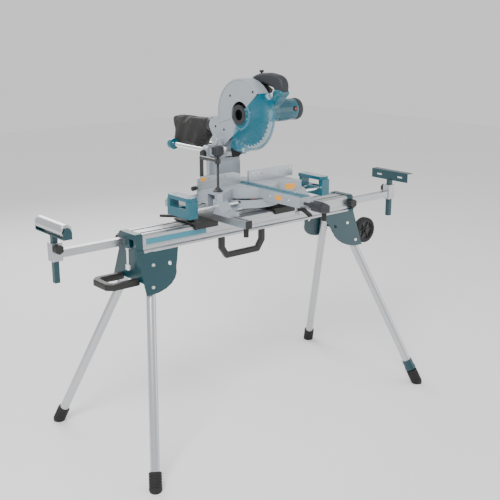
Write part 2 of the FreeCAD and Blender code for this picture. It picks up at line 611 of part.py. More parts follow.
def sub_bases():
    """Teal side supports, each a frame with a light top plate on two steel rods."""
    for side, sign in (("left", -1), ("right", 1)):
        def across(low, high):
            return (low, high) if sign > 0 else (f"-({high})", f"-({low})")
        outline = [("sub_inner", -112), ("sub_outer - 14", -124), ("sub_outer", -112),
                   ("sub_outer", 12), ("sub_outer - 10", 23), ("sub_inner", 23)]
        points = outline if sign > 0 else mirrored(outline)
        top = prism(f"sub_top_{side}", "XY", points, 66, "table_top")
        legs = [box(f"sub_leg_{side}_{place}", across("sub_inner + 4", "sub_outer - 2"), span,
                    (0, 67)) for place, span in (("front", (-122, -100)), ("rear", (2, 20)))]
        rail = box(f"sub_rail_{side}", across("sub_inner + 4", "sub_outer - 2"), (-101, 3),
                   (0, 36))
        window = box(f"sub_rail_window_{side}", across("sub_inner + 12", "sub_outer - 10"),
                     (-92, -38), (-1, 40))
        frame = cut(f"sub_frame_{side}", join(f"sub_parts_{side}", top, *legs, rail), window)
        rods = []
        for place, y in (("front", "-sub_rod_front"), ("rear", "-sub_rod_rear")):
            start = "120" if sign > 0 else "-(sub_outer - 8)"
            rods.append(rod(f"sub_rod_{side}_{place}", "x", (start, y, "sub_rod_z"),
                            "sub_rod_radius", "sub_outer - 128"))
        publish_on_saw(join(f"sub_base_join_{side}", frame, *rods), f"sub_base_{side}")


def vise():
    """Cast vise: bent arm on a post behind the fence, with a screw, knob and round pad."""
    post = rod("vise_post", "z", ("vise_x", "vise_post_y", 32), 8, 172)
    beam = rod("vise_beam", "y", ("vise_x", "vise_y", 199), 8, "vise_post_y - vise_y")
    corner = doc.addObject("Part::Sphere", "vise_corner")
    tie(corner, Radius=9)
    tie(corner, Placement__Base__x="vise_x", Placement__Base__y="vise_post_y",
        Placement__Base__z=199)
    eye = rod("vise_eye", "z", ("vise_x", "vise_y", 189), 12, 20)
    bore = rod("vise_thread", "z", ("vise_x", "vise_y", 180), "5.5 + 0.08", 40)
    publish_on_saw(cut("vise_arm_cast", join("vise_arm_parts", post, beam, corner, eye), bore),
                   "vise_arm")
    spindle = rod("vise_spindle", "z", ("vise_x", "vise_y", 84), 5.5, 134)
    pad = rod("vise_pad", "z", ("vise_x", "vise_y", 80.4), 20, 4)
    cone = doc.addObject("Part::Cone", "vise_cone")
    tie(cone, Radius1=16, Radius2=7, Height=12)
    tie(cone, Placement__Base__x="vise_x", Placement__Base__y="vise_y", Placement__Base__z=84)
    grip = rod("vise_grip", "z", ("vise_x", "vise_y", 216), 24.5, 43)
    publish_on_saw(join("vise_screw_join", spindle, pad, cone, grip), "vise_screw")


# ---------------------------------------------------------------- saw: turntable
def turntable():
    """Turned table with its long arm, kerf slot, rear stand for the bevel pin and pivot."""
    disc = rod("table_disc", "z", (0, 0, 42), "turntable_radius", "table_top - 42")
    under = rod("table_hollow", "z", (0, 0, 41), "turntable_radius - 7", 30)
    hub = rod("table_hub", "z", (0, 0, 41), 30, 36)
    spindle = rod("table_spindle", "z", (0, 0, 8), 10, 40)
    side = [(0, 42), (0, "table_top"), ("arm_tip", "table_top"), ("arm_tip", 44),
            ("arm_tip + 14", 37), ("-ring_radius - 3", 37), ("-ring_radius - 3", 42)]
    arm = prism("table_arm", "YZ", side, "-arm_half", "arm_half")
    arm_inside = box("table_arm_hollow", ("-arm_half + 5", "arm_half - 5"),
                     ("arm_tip + 8", "-turntable_radius"), (30, 70))
    nose = box("grip_boss", (-14, 14), ("arm_tip + 7", "arm_tip + 36"), (40, 71))
    stand = [(62, 44), (62, 80), (68, 96), (74, 100), (98, 100), (98, 44)]
    bevel_stand = prism("bevel_stand", "YZ", stand, -30, 30)
    slot = box("kerf_slot", ("-kerf_half", "kerf_half"), ("arm_tip + 20", 56), (58, 82))
    seat = box("board_seat", (-27, 27), ("arm_tip - 1", 40),
               ("table_top - board_thick", "table_top + 1"))
    pin_hole = rod("bevel_pin_seat", "y", (0, 61, "table_top"), "bevel_pin", 38)
    grip_bore = rod("grip_bore", "y", (0, "arm_tip - 1", 52), "6 + running_gap", 40)
    hollow_disc = cut("table_shell", disc, under)
    bevel_bay = box("bevel_bay", (-76, 76), (99.4, 150), (30, 90))
    solid = cut("table_cut", join("table_join", hollow_disc, hub, arm, bevel_stand), arm_inside,
                slot, seat, pin_hole, bevel_bay)
    pin = rod("bevel_shaft", "y", (0, 62, "table_top"), "bevel_pin", 94)
    foot_pad = rod("stop_bolt_foot", "z", (0, -318, 3), 9, 12)
    foot_stem = rod("stop_bolt_stem", "z", (0, -318, 14), 4, 58)
    bracket = box("stop_bolt_bridge", ("-arm_half + 3", "arm_half - 3"), (-326, -310), (58, 72))
    nosed = cut("arm_with_nose", join("table_nose", solid, nose), grip_bore)
    publish_on_saw(join("table_all", nosed, spindle, pin, bracket, foot_stem, foot_pad),
                   "turntable")
    boards = [box(f"board_{side_name}", span, ("arm_tip", 40),
                  ("table_top - board_thick", "table_top"))
              for side_name, span in (("left", (-27, "-kerf_half")), ("right", ("kerf_half", 27)))]
    publish_on_saw(join("boards", *boards), "kerf_boards")


def mitre_controls():
    """Screw grip on the arm's tip and the sprung lock lever below it."""
    shaft = rod("grip_shaft", "y", (0, "arm_tip - 30", 52), 6, 50)
    grip = doc.addObject("Part::Prism", "grip_body")
    tie(grip, Polygon=8, Circumradius=22.5, Height=72)
    grip.Placement = Placement(Vector(0, number("arm_tip") - 102, 52),
                               Rotation(AXES["z"], AXES["y"]))
    collar = rod("grip_collar", "y", (0, "arm_tip - 42", 52), 11, 18)
    end = rod("grip_end", "y", (0, "arm_tip - 121", 52), 18, 20)
    publish_on_saw(join("grip_join", shaft, grip, collar, end), "mitre_grip")
    outline = [(-330, 20), (-330, 30), (-352, 33), (-372, 24), (-390, 15), (-396, 8),
               (-388, 6), (-370, 16), (-352, 22)]
    lever = prism("lock_lever_blade", "YZ", outline, -9, 9, [(-334, 25, 2)])
    publish_on_saw(lever, "mitre_lock_lever")


# ---------------------------------------------------------------- saw: bevel frame and slide
def bevel_frame():
    """Casting that tilts on the bevel pin and carries the slide rods' bearing housing."""
    hub = rod("bevel_hub", "y", (0, 100, "table_top"), 60, 50)
    front = [(-60, "table_top"), (-60, 150), (-44, 172), (44, 172), (60, 150), (60, "table_top")]
    web = prism("bevel_web", "XZ", front, 100, 150)
    back = [(-60, 86), (-80, 98), (-82, 174), (82, 174), (80, 98), (60, 86)]
    plate = prism("bevel_back", "XZ", back, 130, 150)
    housing = [(-84, 170), (-84, 212), (-74, 222), (-50, 222), (-42, 214), (-42, 174), (42, 174),
               (44, 248), (72, 248), (84, 222), (84, 170)]
    bearing = prism("bevel_housing", "XZ", housing, 140, 172)
    under = box("bevel_hub_flat", (-70, 70), (90, 160), (0, 24))
    gap = "running_gap + 0.02"
    tools = [under, rod("bevel_bore", "y", (0, 95, "table_top"), f"bevel_pin + {gap}", 60),
             rod("upper_rod_bore", "y", (58, 130, "upper_rod_z"), f"upper_rod_radius + {gap}",
                 60),
             rod("slide_screw_bore", "x", (-90, 156, 190), 4.1, 20)]
    for sign in (-1, 1):
        tools.append(rod(f"slide_bore_{sign + 1}", "y", (f"{sign} * slide_rod_x", 130,
                                                       "slide_rod_z"),
                         f"slide_rod_radius + {gap}", 60))
    publish_on_saw(cut("bevel_cast", join("bevel_parts", hub, web, plate, bearing), *tools),
                   "bevel_frame")
    publish_on_saw(lobed_knob("slide_screw", "x", (-99.5, 156, 190), 15, 14, 1), "slide_lock_knob")


def slide_carriage():
    """Two thick rods and a thin upper one, their rear caps, and the head's pivot bracket."""
    rods = []
    for sign in (-1, 1):
        x = f"{sign} * slide_rod_x"
        rods.append(rod(f"slide_rod_{sign + 1}", "y", (x, 80, "slide_rod_z"), "slide_rod_radius",
                        "slide_rod_rear - 85"))
        rods.append(rod(f"slide_cap_{sign + 1}", "y", (x, "slide_rod_rear - 12", "slide_rod_z"),
                        23.5, 24))
    rods.append(rod("slide_rod_upper", "y", (58, 80, "upper_rod_z"), "upper_rod_radius",
                    "slide_rod_rear - 85"))
    publish_on_saw(join("rods_and_caps", *rods), "slide_rods")
    base = [(-75, 182), (-75, 212), (-64, 216), (-47.5, 216), (-47.5, 198), (47.5, 198),
            (47.5, 216), (64, 216), (75, 212), (75, 182)]
    block = prism("bracket_block", "XZ", base, 80, 135)
    parts = [block]
    for side, low, high in (("left", -62, -47.5), ("right", 47.5, 66)):
        parts.append(rod(f"ear_{side}", "x", (low, "pivot_y", "pivot_z"), 27, high - low))
        parts.append(box(f"ear_web_{side}", (low, high), ("pivot_y - 27", "pivot_y + 25"),
                         (200, "pivot_z")))
    tools = [rod("pin_seat", "x", (-80, "pivot_y", "pivot_z"), "pivot_pin", 160),
             rod("upper_rod_seat", "y", (58, 70, "upper_rod_z"), "upper_rod_radius", 80)]
    for sign in (-1, 1):
        tools.append(rod(f"rod_seat_{sign + 1}", "y", (f"{sign} * slide_rod_x", 79,
                                                      "slide_rod_z"), "slide_rod_radius", 70))
    publish_on_saw(cut("bracket_cast", join("bracket_parts", *parts), *tools), "pivot_bracket")
    pin = rod("pin_bar", "x", (-68, "pivot_y", "pivot_z"), "pivot_pin", 140)
    relief = rod("pin_relief", "y", (58, 70, "upper_rod_z"), "upper_rod_radius", 80)
    publish_on_saw(cut("pin_cut", pin, relief), "pivot_pin")


def dust_flap():
    """Rubber flap that hangs behind the blade from the head."""
    outline = [(46, 250), (66, 236), (68, 214), (60, 178), (24, 186), (-4, 206), (40, 222)]
    publish_on_saw(prism("flap", "YZ", outline, -16, -10), "dust_flap")


# ---------------------------------------------------------------- saw: head
def blade_case():
    """Head casting: upper blade case, arm and knuckle, gear chamber and dust nozzle."""
    drum = rod("case_drum", "x", (-40, "blade_y", "blade_z"), "case_radius", 52)
    away = [(-220, 450), (-126, 450), (-62, 394), (8, 384), (44, 338), (170, 300), (170, 150),
            (-220, 150)]
    opening = prism("case_opening", "YZ", away, -60, 30)
    shell = cut("case_shell", drum, opening)
    outline = [(-12, 300), (58, 250), (84, 228), (136, 228), (160, 262), (176, 284), (178, 326),
               (150, 338), (104, 352), (92, 430), (20, 420), (24, 380), (44, 340), (-12, 330)]
    arm = prism("case_arm", "YZ", outline, -38, 12)
    rear = [(24, 372), (60, 300), (84, 228), (136, 228), (160, 262), (150, 330), (84, 392)]
    arm_right = prism("case_arm_right", "YZ", rear, 12, 40)
    knuckle = rod("knuckle", "x", (-46.5, "pivot_y", "pivot_z"), 26, 93)
    gear_drum = rod("gear_drum", "x", (12, "blade_y", "blade_z"), 48, 46)
    pinion_drum = rod("pinion_drum", "x", (12, "motor_y", "motor_z"), 46, 46)
    nozzle = rod("nozzle", "y", (-8, 150, 301), 28, 55)
    solid = join("head_parts", shell, arm, arm_right, knuckle, gear_drum, pinion_drum, nozzle)
    tools = [
        rod("case_cavity", "x", (-36, "blade_y", "blade_z"), "case_radius - 5", 46),
        rod("hub_window", "x", (-50, "blade_y", "blade_z"), 52, 30),
        rod("nozzle_bore", "y", (-8, 130, 301), 24, 80),
        rod("pivot_hole", "x", (-60, "pivot_y", "pivot_z"), "pivot_pin + running_gap", 130),
        rod("spindle_hole", "x", (5, "blade_y", "blade_z"), "spindle_radius + running_gap", 43),
        rod("gear_room", "x", (20, "blade_y", "blade_z"), 36, 22),
        rod("pinion_room", "x", (20, "motor_y", "motor_z"), 12, 22),
        rod("armature_hole", "x", (18, "motor_y", "motor_z"), "6 + running_gap", 50),
    ]
    publish_on_saw(cut("head_cast", solid, *tools), "blade_case")


def motor():
    """Plastic motor housing and end cap, and the armature whose pinion turns the drive gear."""
    barrel = rod("motor_barrel", "x", (58, "motor_y", "motor_z"), "motor_radius", 146)
    tower = rod("brush_tower", "y", (182, "motor_y - motor_radius - 2", "motor_z + 6"), 11, 20)
    inside = rod("motor_inside", "x", (62, "motor_y", "motor_z"), "motor_radius - 4", 143)
    shaft_hole = rod("motor_shaft_hole", "x", (57, "motor_y", "motor_z"), "6 + running_gap", 8)
    publish_on_saw(cut("motor_shell", join("motor_parts", barrel, tower), inside, shaft_hole),
                   "motor_housing")
    cap = rod("cap_drum", "x", (204, "motor_y", "motor_z"), "motor_radius + 1.5", 28)
    cap_inside = rod("cap_room", "x", (203, "motor_y", "motor_z"), "motor_radius - 6", 23)
    journal = rod("cap_journal", "x", (216, "motor_y", "motor_z"), 14, 12)
    seat = rod("cap_seat", "x", (215, "motor_y", "motor_z"), "6 + running_gap", 8)
    publish_on_saw(cut("cap_turned", join("cap_parts", cut("cap_cup", cap, cap_inside), journal),
                       seat), "motor_end_cap")
    shaft = rod("armature_shaft", "x", (22.5, "motor_y", "motor_z"), 6, 199)
    core = rod("armature_core", "x", (84, "motor_y", "motor_z"), 25, 72)
    commutator = rod("commutator", "x", (168, "motor_y", "motor_z"), 14, 24)
    pinion = gear_solid("pinion", 11, 24, 38, "motor_y", "motor_z", 0.5)
    publish_on_saw(join("armature", shaft, core, commutator, pinion), "motor_armature")


GEAR_TEETH = {"drive": 44, "pinion": 11}
GEAR_MODULE = math.hypot(number("motor_y - blade_y"), number("motor_z - blade_z")) * 2 / 55


def gear_solid(name, teeth, low, high, y, z, phase):
    """A spur gear about an X axis with slim straight-sided teeth."""
    pitch = GEAR_MODULE * teeth / 2
    to_mate = math.atan2(number("motor_z - blade_z"), number("motor_y - blade_y"))
    start = to_mate if name == "drive" else to_mate + math.pi
    root, tip = pitch - 1.15 * GEAR_MODULE, pitch + 0.8 * GEAR_MODULE
    outline = []
    for tooth in range(teeth):
        middle = start + (tooth + phase) * 2 * math.pi / teeth
        for share, radius in ((-0.27, root), (-0.11, tip), (0.11, tip), (0.27, root)):
            angle = middle + share * 2 * math.pi / teeth
            outline.append(Vector(0, radius * math.cos(angle), radius * math.sin(angle)))
    outline.append(outline[0])
    face = Part.Face(Part.makePolygon(outline))
    gear = doc.addObject("Part::Feature", name + "_gear")
    gear.Shape = face.extrude(Vector(high - low, 0, 0))
    gear.Placement = Placement(Vector(low, number(y), number(z)), Rotation())
    return gear


def blade_and_spindle():
    """Toothed disc blade, and the spindle with its flanges, bolt and drive gear."""
    teeth = 40
    rim = number("blade_radius")
    outline = []
    for tooth in range(teeth):
        start = 2 * math.pi * tooth / teeth
        for share, radius in ((0, rim - 9), (0.08, rim), (0.3, rim - 1.5), (0.72, rim - 8)):
            angle = start + share * 2 * math.pi / teeth
            outline.append(Vector(0, radius * math.cos(angle), radius * math.sin(angle)))
    outline.append(outline[0])
    disc = doc.addObject("Part::Feature", "blade_disc")
    disc.Shape = Part.Face(Part.makePolygon(outline)).extrude(Vector(2.4, 0, 0))
    disc.Placement = Placement(Vector(-1.2, number("blade_y"), number("blade_z")), Rotation())
    bore = rod("blade_bore", "x", (-5, "blade_y", "blade_z"), "spindle_radius", 10)
    publish_on_saw(cut("blade_cut", disc, bore), "saw_blade")
    parts = [rod("spindle_bar", "x", (-10, "blade_y", "blade_z"), "spindle_radius", 52),
             rod("outer_flange", "x", (-8, "blade_y", "blade_z"), 23, 6.8),
             rod("inner_flange", "x", (1.2, "blade_y", "blade_z"), 23, 6.8),
             rod("arbor_bolt", "x", (-17, "blade_y", "blade_z"), 9, 9),
             gear_solid("drive", 44, 23, 39, "blade_y", "blade_z", 0)]
    publish_on_saw(join("spindle", *parts), "blade_spindle")


def lower_guard():
    """Clear guard: a side plate and rim over the blade's lower front, turning on the hub."""
    outer = rod("guard_outer", "x", (-46, "blade_y", "blade_z"), "guard_radius", 61)
    inner = rod("guard_inner", "x", (-43.5, "blade_y", "blade_z"), "guard_radius - 3.5", 56)
    lip = rod("guard_lip", "x", (-60, "blade_y", "blade_z"), "guard_radius - 12", 90)
    side = rod("guard_side", "x", (-46, "blade_y", "blade_z"), "guard_radius - 1", 2.5)
    drum = join("guard_drum", cut("guard_ring", cut("guard_cup", outer, inner), lip), side)
    sector = [Vector(0, 0, 0)]
    for step in range(20):
        angle = math.radians(142.5 + 151.5 * step / 19)
        sector.append(Vector(0, 190 * math.cos(angle), 190 * math.sin(angle)))
    sector.append(sector[0])
    wedge = doc.addObject("Part::Feature", "guard_wedge")
    wedge.Shape = Part.Face(Part.makePolygon(sector)).extrude(Vector(90, 0, 0))
    wedge.Placement = Placement(Vector(-60, number("blade_y"), number("blade_z")), Rotation())
    sheet_part = doc.addObject("Part::Common", "guard_sector")
    sheet_part.Base = drum
    sheet_part.Tool = wedge
    hub = rod("guard_hub", "x", (-46, "blade_y", "blade_z"), 40, 2.5)
    publish_on_saw(join("guard_join", sheet_part, hub), "lower_guard")


def main_handle():
    """D-handle over the head: closed loop with a trigger and a lock-off button."""
    outline = [(38, 430), (34, 456), (-12, 498), (-40, 514), (-84, 524), (-186, 511), (-200, 498),
               (-204, 462), (-190, 444), (-150, 404), (-118, 380), (-70, 376), (0, 380)]
    loop = prism("handle_loop", "YZ", outline, "handle_low", "handle_high")
    gap = [(-50, 480), (-56, 462), (-62, 430), (-92, 420), (-128, 424), (-152, 448),
           (-152, 466), (-124, 476)]
    hollow = prism("finger_gap", "YZ", gap, "handle_low - 1", "handle_high + 1")
    pocket = [(-56, 470), (-128, 456), (-128, 488), (-56, 502)]
    trigger_room = prism("trigger_room", "YZ", pocket, 27, 49)
    seat_drums = [rod("seat_gear", "x", (10, "blade_y", "blade_z"), 48.3, 48.2),
                  rod("seat_motor", "x", (10, "motor_y", "motor_z"), 46.3, 48.2)]
    stem_hole = rod("button_hole", "z", (38, -62, 506), 4.2, 30)
    publish_on_saw(cut("handle_cut", loop, hollow, trigger_room, stem_hole, *seat_drums),
                   "main_handle")
    blade = [(-62, 492), (-60, 472), (-104, 446), (-116, 450), (-120, 462), (-96, 474),
             (-76, 492)]
    publish_on_saw(prism("trigger_blade", "YZ", blade, 29, 47, [(-66, 486, 2)]), "trigger")
    stem = rod("button_stem", "z", (38, -62, 512), 4, 15)
    head = rod("button_head", "z", (38, -62, 526), 9, 8)
    publish_on_saw(join("button", stem, head), "lock_off_button")


def dust_bag():
    """Simple closed form of the fabric dust bag on its collar."""
    outline = [(205.5, 272), (205.5, 330), (232, 326), (448, 318), (456, 306), (454, 192),
               (446, 186), (276, 188), (262, 200)]
    shifted = prism("bag_form", "YZ", outline, -36, 24)
    publish_on_saw(shifted, "dust_bag")


# ---------------------------------------------------------------- build, check and write
stand_beam()
for x_side in (-1, 1):
    leg_bracket(x_side)
    extension_arm(x_side)
    for y_side in (-1, 1):
        leg(x_side, y_side)
leg_bolts()
carry_handle()
end_handle()
end_lock_lever()
wheels()
roller_post()
stop_post()
tool_mounts()
saw_base()
fences()
sub_bases()
vise()
turntable()
mitre_controls()
bevel_frame()
slide_carriage()
dust_flap()
blade_case()
motor()
blade_and_spindle()
lower_guard()
main_handle()
dust_bag()
doc.recompute()

for thing in doc.Objects:
    if "Invalid" in thing.State or "Error" in thing.State:
        raise RuntimeError(f"{thing.Name} did not build: {thing.State}")
for node in nodes:
    if node.Shape.isNull() or not node.Shape.isValid():
        raise RuntimeError(f"{node.Label} has no valid shape")

os.makedirs("parts", exist_ok=True)
for node in nodes:
    node.Shape.exportStep(f"parts/{node.Label}.step")
print(len(nodes), "sub-parts written")
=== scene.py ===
import json
import math
import bmesh
import bpy
from mathutils import Matrix, Vector


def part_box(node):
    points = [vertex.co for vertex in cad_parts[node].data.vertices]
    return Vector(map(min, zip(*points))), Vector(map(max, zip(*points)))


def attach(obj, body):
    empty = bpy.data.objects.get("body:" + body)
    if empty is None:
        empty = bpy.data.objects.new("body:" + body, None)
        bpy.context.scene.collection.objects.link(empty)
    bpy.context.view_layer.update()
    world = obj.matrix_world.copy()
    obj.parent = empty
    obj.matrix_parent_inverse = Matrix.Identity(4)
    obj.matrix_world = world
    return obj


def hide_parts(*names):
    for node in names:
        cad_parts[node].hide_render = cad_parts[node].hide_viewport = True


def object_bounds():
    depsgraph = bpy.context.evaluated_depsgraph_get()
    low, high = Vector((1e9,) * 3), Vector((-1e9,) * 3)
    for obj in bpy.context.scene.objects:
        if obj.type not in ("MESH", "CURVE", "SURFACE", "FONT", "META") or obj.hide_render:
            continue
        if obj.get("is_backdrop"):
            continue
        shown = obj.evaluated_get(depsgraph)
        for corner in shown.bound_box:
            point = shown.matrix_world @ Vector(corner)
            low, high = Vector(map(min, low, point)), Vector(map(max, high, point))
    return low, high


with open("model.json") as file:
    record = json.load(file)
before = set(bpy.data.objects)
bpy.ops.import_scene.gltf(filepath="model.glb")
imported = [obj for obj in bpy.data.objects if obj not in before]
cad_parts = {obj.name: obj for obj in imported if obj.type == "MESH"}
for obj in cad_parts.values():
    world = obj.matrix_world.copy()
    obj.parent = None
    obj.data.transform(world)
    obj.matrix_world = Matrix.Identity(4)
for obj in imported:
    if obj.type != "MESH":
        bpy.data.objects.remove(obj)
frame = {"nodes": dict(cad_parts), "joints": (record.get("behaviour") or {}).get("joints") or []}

cad_low, cad_high = (list(corner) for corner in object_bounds())


# ---------------------------------------------------------------- beam
# The stand's spine: one aluminium extrusion with two T-slots on top and a recessed band in front.
# Sawn to length and anodised, it carries everything else. A coloured strip is stuck in the band.
class Socket:
    """A shader output that takes part in arithmetic like a number."""

    def __init__(self, finish, link):
        self.finish, self.link = finish, link

    def maths(self, operation, left, right):
        return self.finish.node("ShaderNodeMath", {"operation": operation}, {0: left, 1: right})

    def __add__(self, other):
        return self.maths("ADD", self, other)

    def __radd__(self, other):
        return self.maths("ADD", other, self)

    def __sub__(self, other):
        return self.maths("SUBTRACT", self, other)

    def __mul__(self, other):
        return self.maths("MULTIPLY", self, other)

    def __rmul__(self, other):
        return self.maths("MULTIPLY", other, self)


class Finish:
    """A material whose shader starts from constants; node() adds what varies."""

    def __init__(self, name, **constants):
        self.material = bpy.data.materials.new(name)
        self.material.use_nodes = True
        self.tree = self.material.node_tree
        self.shader = self.tree.nodes["Principled BSDF"]
        for socket, value in constants.items():
            self.shader.inputs[socket.replace("_", " ")].default_value = value
        self.place = self.node("ShaderNodeTexCoord", {}, {}, "Object")

    def node(self, kind, settings, sockets, output=0):
        made = self.tree.nodes.new(kind)
        for setting, value in settings.items():
            setattr(made, setting, value)
        for key, value in sockets.items():
            if isinstance(value, Socket):
                self.tree.links.new(value.link, made.inputs[key])
            else:
                made.inputs[key].default_value = value
        return Socket(self, made.outputs[output])

    def noise(self, scale, detail=3, stretch=(1, 1, 1)):
        spread = self.node("ShaderNodeMapping", {}, {"Vector": self.place, "Scale": stretch})
        return self.node("ShaderNodeTexNoise", {}, {"Vector": spread, "Scale": scale, "Detail": detail})

    def blend(self, amount, first, second):
        return self.node("ShaderNodeMix", {"data_type": "RGBA"}, {0: amount, 6: first, 7: second}, 2)

    def feed(self, socket, value):
        self.tree.links.new(value.link, self.shader.inputs[socket])

    def bump(self, height, strength, distance=0.0004):
        raised = self.node("ShaderNodeBump", {}, {"Height": height, "Strength": strength,
                                                  "Distance": distance})
        self.feed("Normal", raised)


def tint(colour, factor):
    return tuple(min(1.0, channel * factor) for channel in colour[:3]) + (1.0,)


def coated(name, colour, roughness, grain=700, bump=0.06, coat=0.0, metallic=0.0, cloud=0.07):
    """Paint, powder coat, moulded plastic or rubber: an even colour with a fine grain."""
    finish = Finish(name, Metallic=metallic, Coat_Weight=coat, Coat_Roughness=0.15)
    broad, fine = finish.noise(7, 4), finish.noise(grain, 2)
    finish.feed("Base Color", finish.blend(broad, tint(colour, 1 - cloud), tint(colour, 1 + cloud)))
    finish.feed("Roughness", roughness + 0.14 * (broad - 0.5) + 0.1 * (fine - 0.5))
    finish.bump(fine, bump)
    return finish.material


def drawn_metal(name, colour, roughness, along=(1, 40, 40), bump=0.03, metallic=1.0):
    """Bare metal with fine lines along the way it was drawn, rolled or ground."""
    finish = Finish(name, Metallic=metallic)
    lines, broad = finish.noise(60, 3, along), finish.noise(6, 3)
    finish.feed("Base Color", finish.blend(lines, tint(colour, 0.9), tint(colour, 1.08)))
    finish.feed("Roughness", roughness + 0.16 * (lines - 0.5) + 0.12 * (broad - 0.5))
    finish.bump(lines, bump)
    return finish.material


anodised = drawn_metal("anodised_extrusion", (0.50, 0.51, 0.53), 0.3, (1, 30, 30), metallic=0.9)
teal_coat = coated("teal_powder_coat", (0.002, 0.042, 0.055), 0.36, 900, 0.1, coat=0.15)
strip_blue = coated("strip_blue", (0.03, 0.22, 0.30), 0.3, 300, 0.01, coat=0.4)
MM = 0.001


def finished_mesh(name, shape, finish, sharp=35):
    """A mesh from a bmesh, smooth between its sharp edges."""
    mesh = bpy.data.meshes.new(name)
    shape.to_mesh(mesh)
    shape.free()
    mesh.materials.clear()
    mesh.materials.append(finish)
    for polygon in mesh.polygons:
        polygon.use_smooth = True
        polygon.material_index = 0
    mesh.set_sharp_from_angle(angle=math.radians(sharp))
    return mesh


def fit(name, shape, finish, body, replaces=(), sharp=35):
    """A finished piece that rides on its body."""
    piece = bpy.data.objects.new(name, finished_mesh(name, shape, finish, sharp))
    bpy.context.scene.collection.objects.link(piece)
    even = piece.modifiers.new("even_shading", "WEIGHTED_NORMAL")
    even.keep_sharp = True
    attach(piece, body)
    if replaces:
        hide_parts(*replaces)
    return piece


def edges_eased(shape, width, limit=32, segments=2):
    """Rounds the sharp edges of a closed shape, as deburring or moulding leaves them."""
    bmesh.ops.remove_doubles(shape, verts=shape.verts, dist=1e-6)
    bmesh.ops.dissolve_limit(shape, angle_limit=math.radians(1.5), verts=shape.verts,
                             edges=shape.edges)
    sharp = [edge for edge in shape.edges if len(edge.link_faces) == 2
             and edge.calc_face_angle(0) > math.radians(limit)]
    bmesh.ops.bevel(shape, geom=sharp, offset=width, segments=segments, profile=0.5,
                    affect="EDGES", clamp_overlap=True)
    return shape


def ease(node, width, finish, body):
    """The CAD piece again, with eased edges and its own finish."""
    source = frame["nodes"][node].data
    shape = bmesh.new()
    shape.from_mesh(source)
    bmesh.ops.remove_doubles(shape, verts=shape.verts, dist=1e-6)
    if width:
        edges_eased(shape, width)
    low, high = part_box(node)
    stray = [v for v in shape.verts
             if any(v.co[i] < low[i] - 2e-4 or v.co[i] > high[i] + 2e-4 for i in range(3))]
    if stray:
        shape.free()
        shape = bmesh.new()
        shape.from_mesh(source)
        bmesh.ops.remove_doubles(shape, verts=shape.verts, dist=1e-6)
    return fit(node + "_piece", shape, finish, body, [node])


def block(low, high, width=0.0, segments=2):
    """A box between two corners, its edges eased."""
    shape = bmesh.new()
    middle = [(a + b) / 2 for a, b in zip(low, high)]
    size = [b - a for a, b in zip(low, high)]
    place = Matrix.Translation(middle) @ Matrix.Diagonal((*size, 1))
    bmesh.ops.create_cube(shape, size=1, matrix=place)
    return edges_eased(shape, width, segments=segments) if width else shape


ease("stand_beam", 0.0008, anodised, "stand")
band_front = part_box("stand_beam")[0][1] + 10 * MM
strip_left, strip_right = -0.527, -0.248
strip_low, strip_high = 0.811, 0.833
strip = block((strip_left, band_front - 0.6 * MM, strip_low),
              (strip_right, band_front + 0.2 * MM, strip_high), 0.0002)
fit("front_strip", strip, strip_blue, "stand")


# ---------------------------------------------------------------- leg brackets
# Folded sheet steel caps on both ends of the beam, powder coated teal. Zinc-plated bolts hold the
# legs between their slanted plates, and a stud below each bolt catches the open leg.
zinc = drawn_metal("zinc_plated", (0.72, 0.71, 0.67), 0.3, (20, 20, 20))
for side in ("left", "right"):
    ease(f"leg_bracket_{side}", 0.0009, teal_coat, "stand")
ease("leg_bolts", 0.0006, zinc, "stand")


# ---------------------------------------------------------------- legs
# Round aluminium tubes that fold under the beam, each pushed into a ribbed rubber boot that is cut
# flat at the floor. The front right one has a teal collar and a screwed foot for uneven ground.
leg_tube = drawn_metal("leg_tube", (0.54, 0.55, 0.57), 0.28, (30, 30, 1.5), metallic=0.8)
black_rubber = coated("black_rubber", (0.010, 0.010, 0.010), 0.72, 500, 0.25)


def turned(profile, steps=48, start=0.0, stop=360.0):
    """A profile of (radius, height) points turned about Z; a closed loop of points makes a ring."""
    shape = bmesh.new()
    whole = abs(stop - start) >= 360
    solid = profile[0][0] == 0 and profile[-1][0] == 0
    count = steps if whole else steps + 1
    rings = []
    for radius, height in profile:
        if radius == 0:
            rings.append([shape.verts.new((0, 0, height))] * count)
            continue
        ring = []
        for step in range(count):
            angle = math.radians(start + (stop - start) * step / steps)
            ring.append(shape.verts.new((radius * math.cos(angle), radius * math.sin(angle), height)))
        rings.append(ring)
    pairs = list(zip(rings, rings[1:])) if solid else list(zip(rings, rings[1:] + rings[:1]))
    for inner, outer in pairs:
        for step in range(steps):
            after = (step + 1) % count
            corners = [inner[step], inner[after], outer[after], outer[step]]
            different = list(dict.fromkeys(corners))
            if len(different) > 2:
                shape.faces.new(different)
    if not whole:
        for step in (0, count - 1):
            face = list(dict.fromkeys(ring[step] for ring in rings))
            shape.faces.new(face)
    bmesh.ops.recalc_face_normals(shape, faces=shape.faces)
    return shape


def metres(points):
    """Points given in millimetres, in the scene's metres."""
    return [(first * MM, second * MM) for first, second in points]


def set_at(shape, at, axis):
    """Turns a shape made about Z onto an axis and moves it to its place."""
    turn = Vector((0, 0, 1)).rotation_difference(Vector(axis)).to_matrix().to_4x4()
    shape.transform(Matrix.Translation(at) @ turn)
    return shape


def cut_flat(shape, height=0.0):
    """Cuts a shape off at a height and closes the cut."""
    bmesh.ops.bisect_plane(shape, geom=shape.verts[:] + shape.edges[:] + shape.faces[:],
                           plane_co=(0, 0, height), plane_no=(0, 0, -1), clear_outer=True)
    rim = [edge for edge in shape.edges if edge.is_boundary]
    bmesh.ops.holes_fill(shape, edges=rim)
    return shape


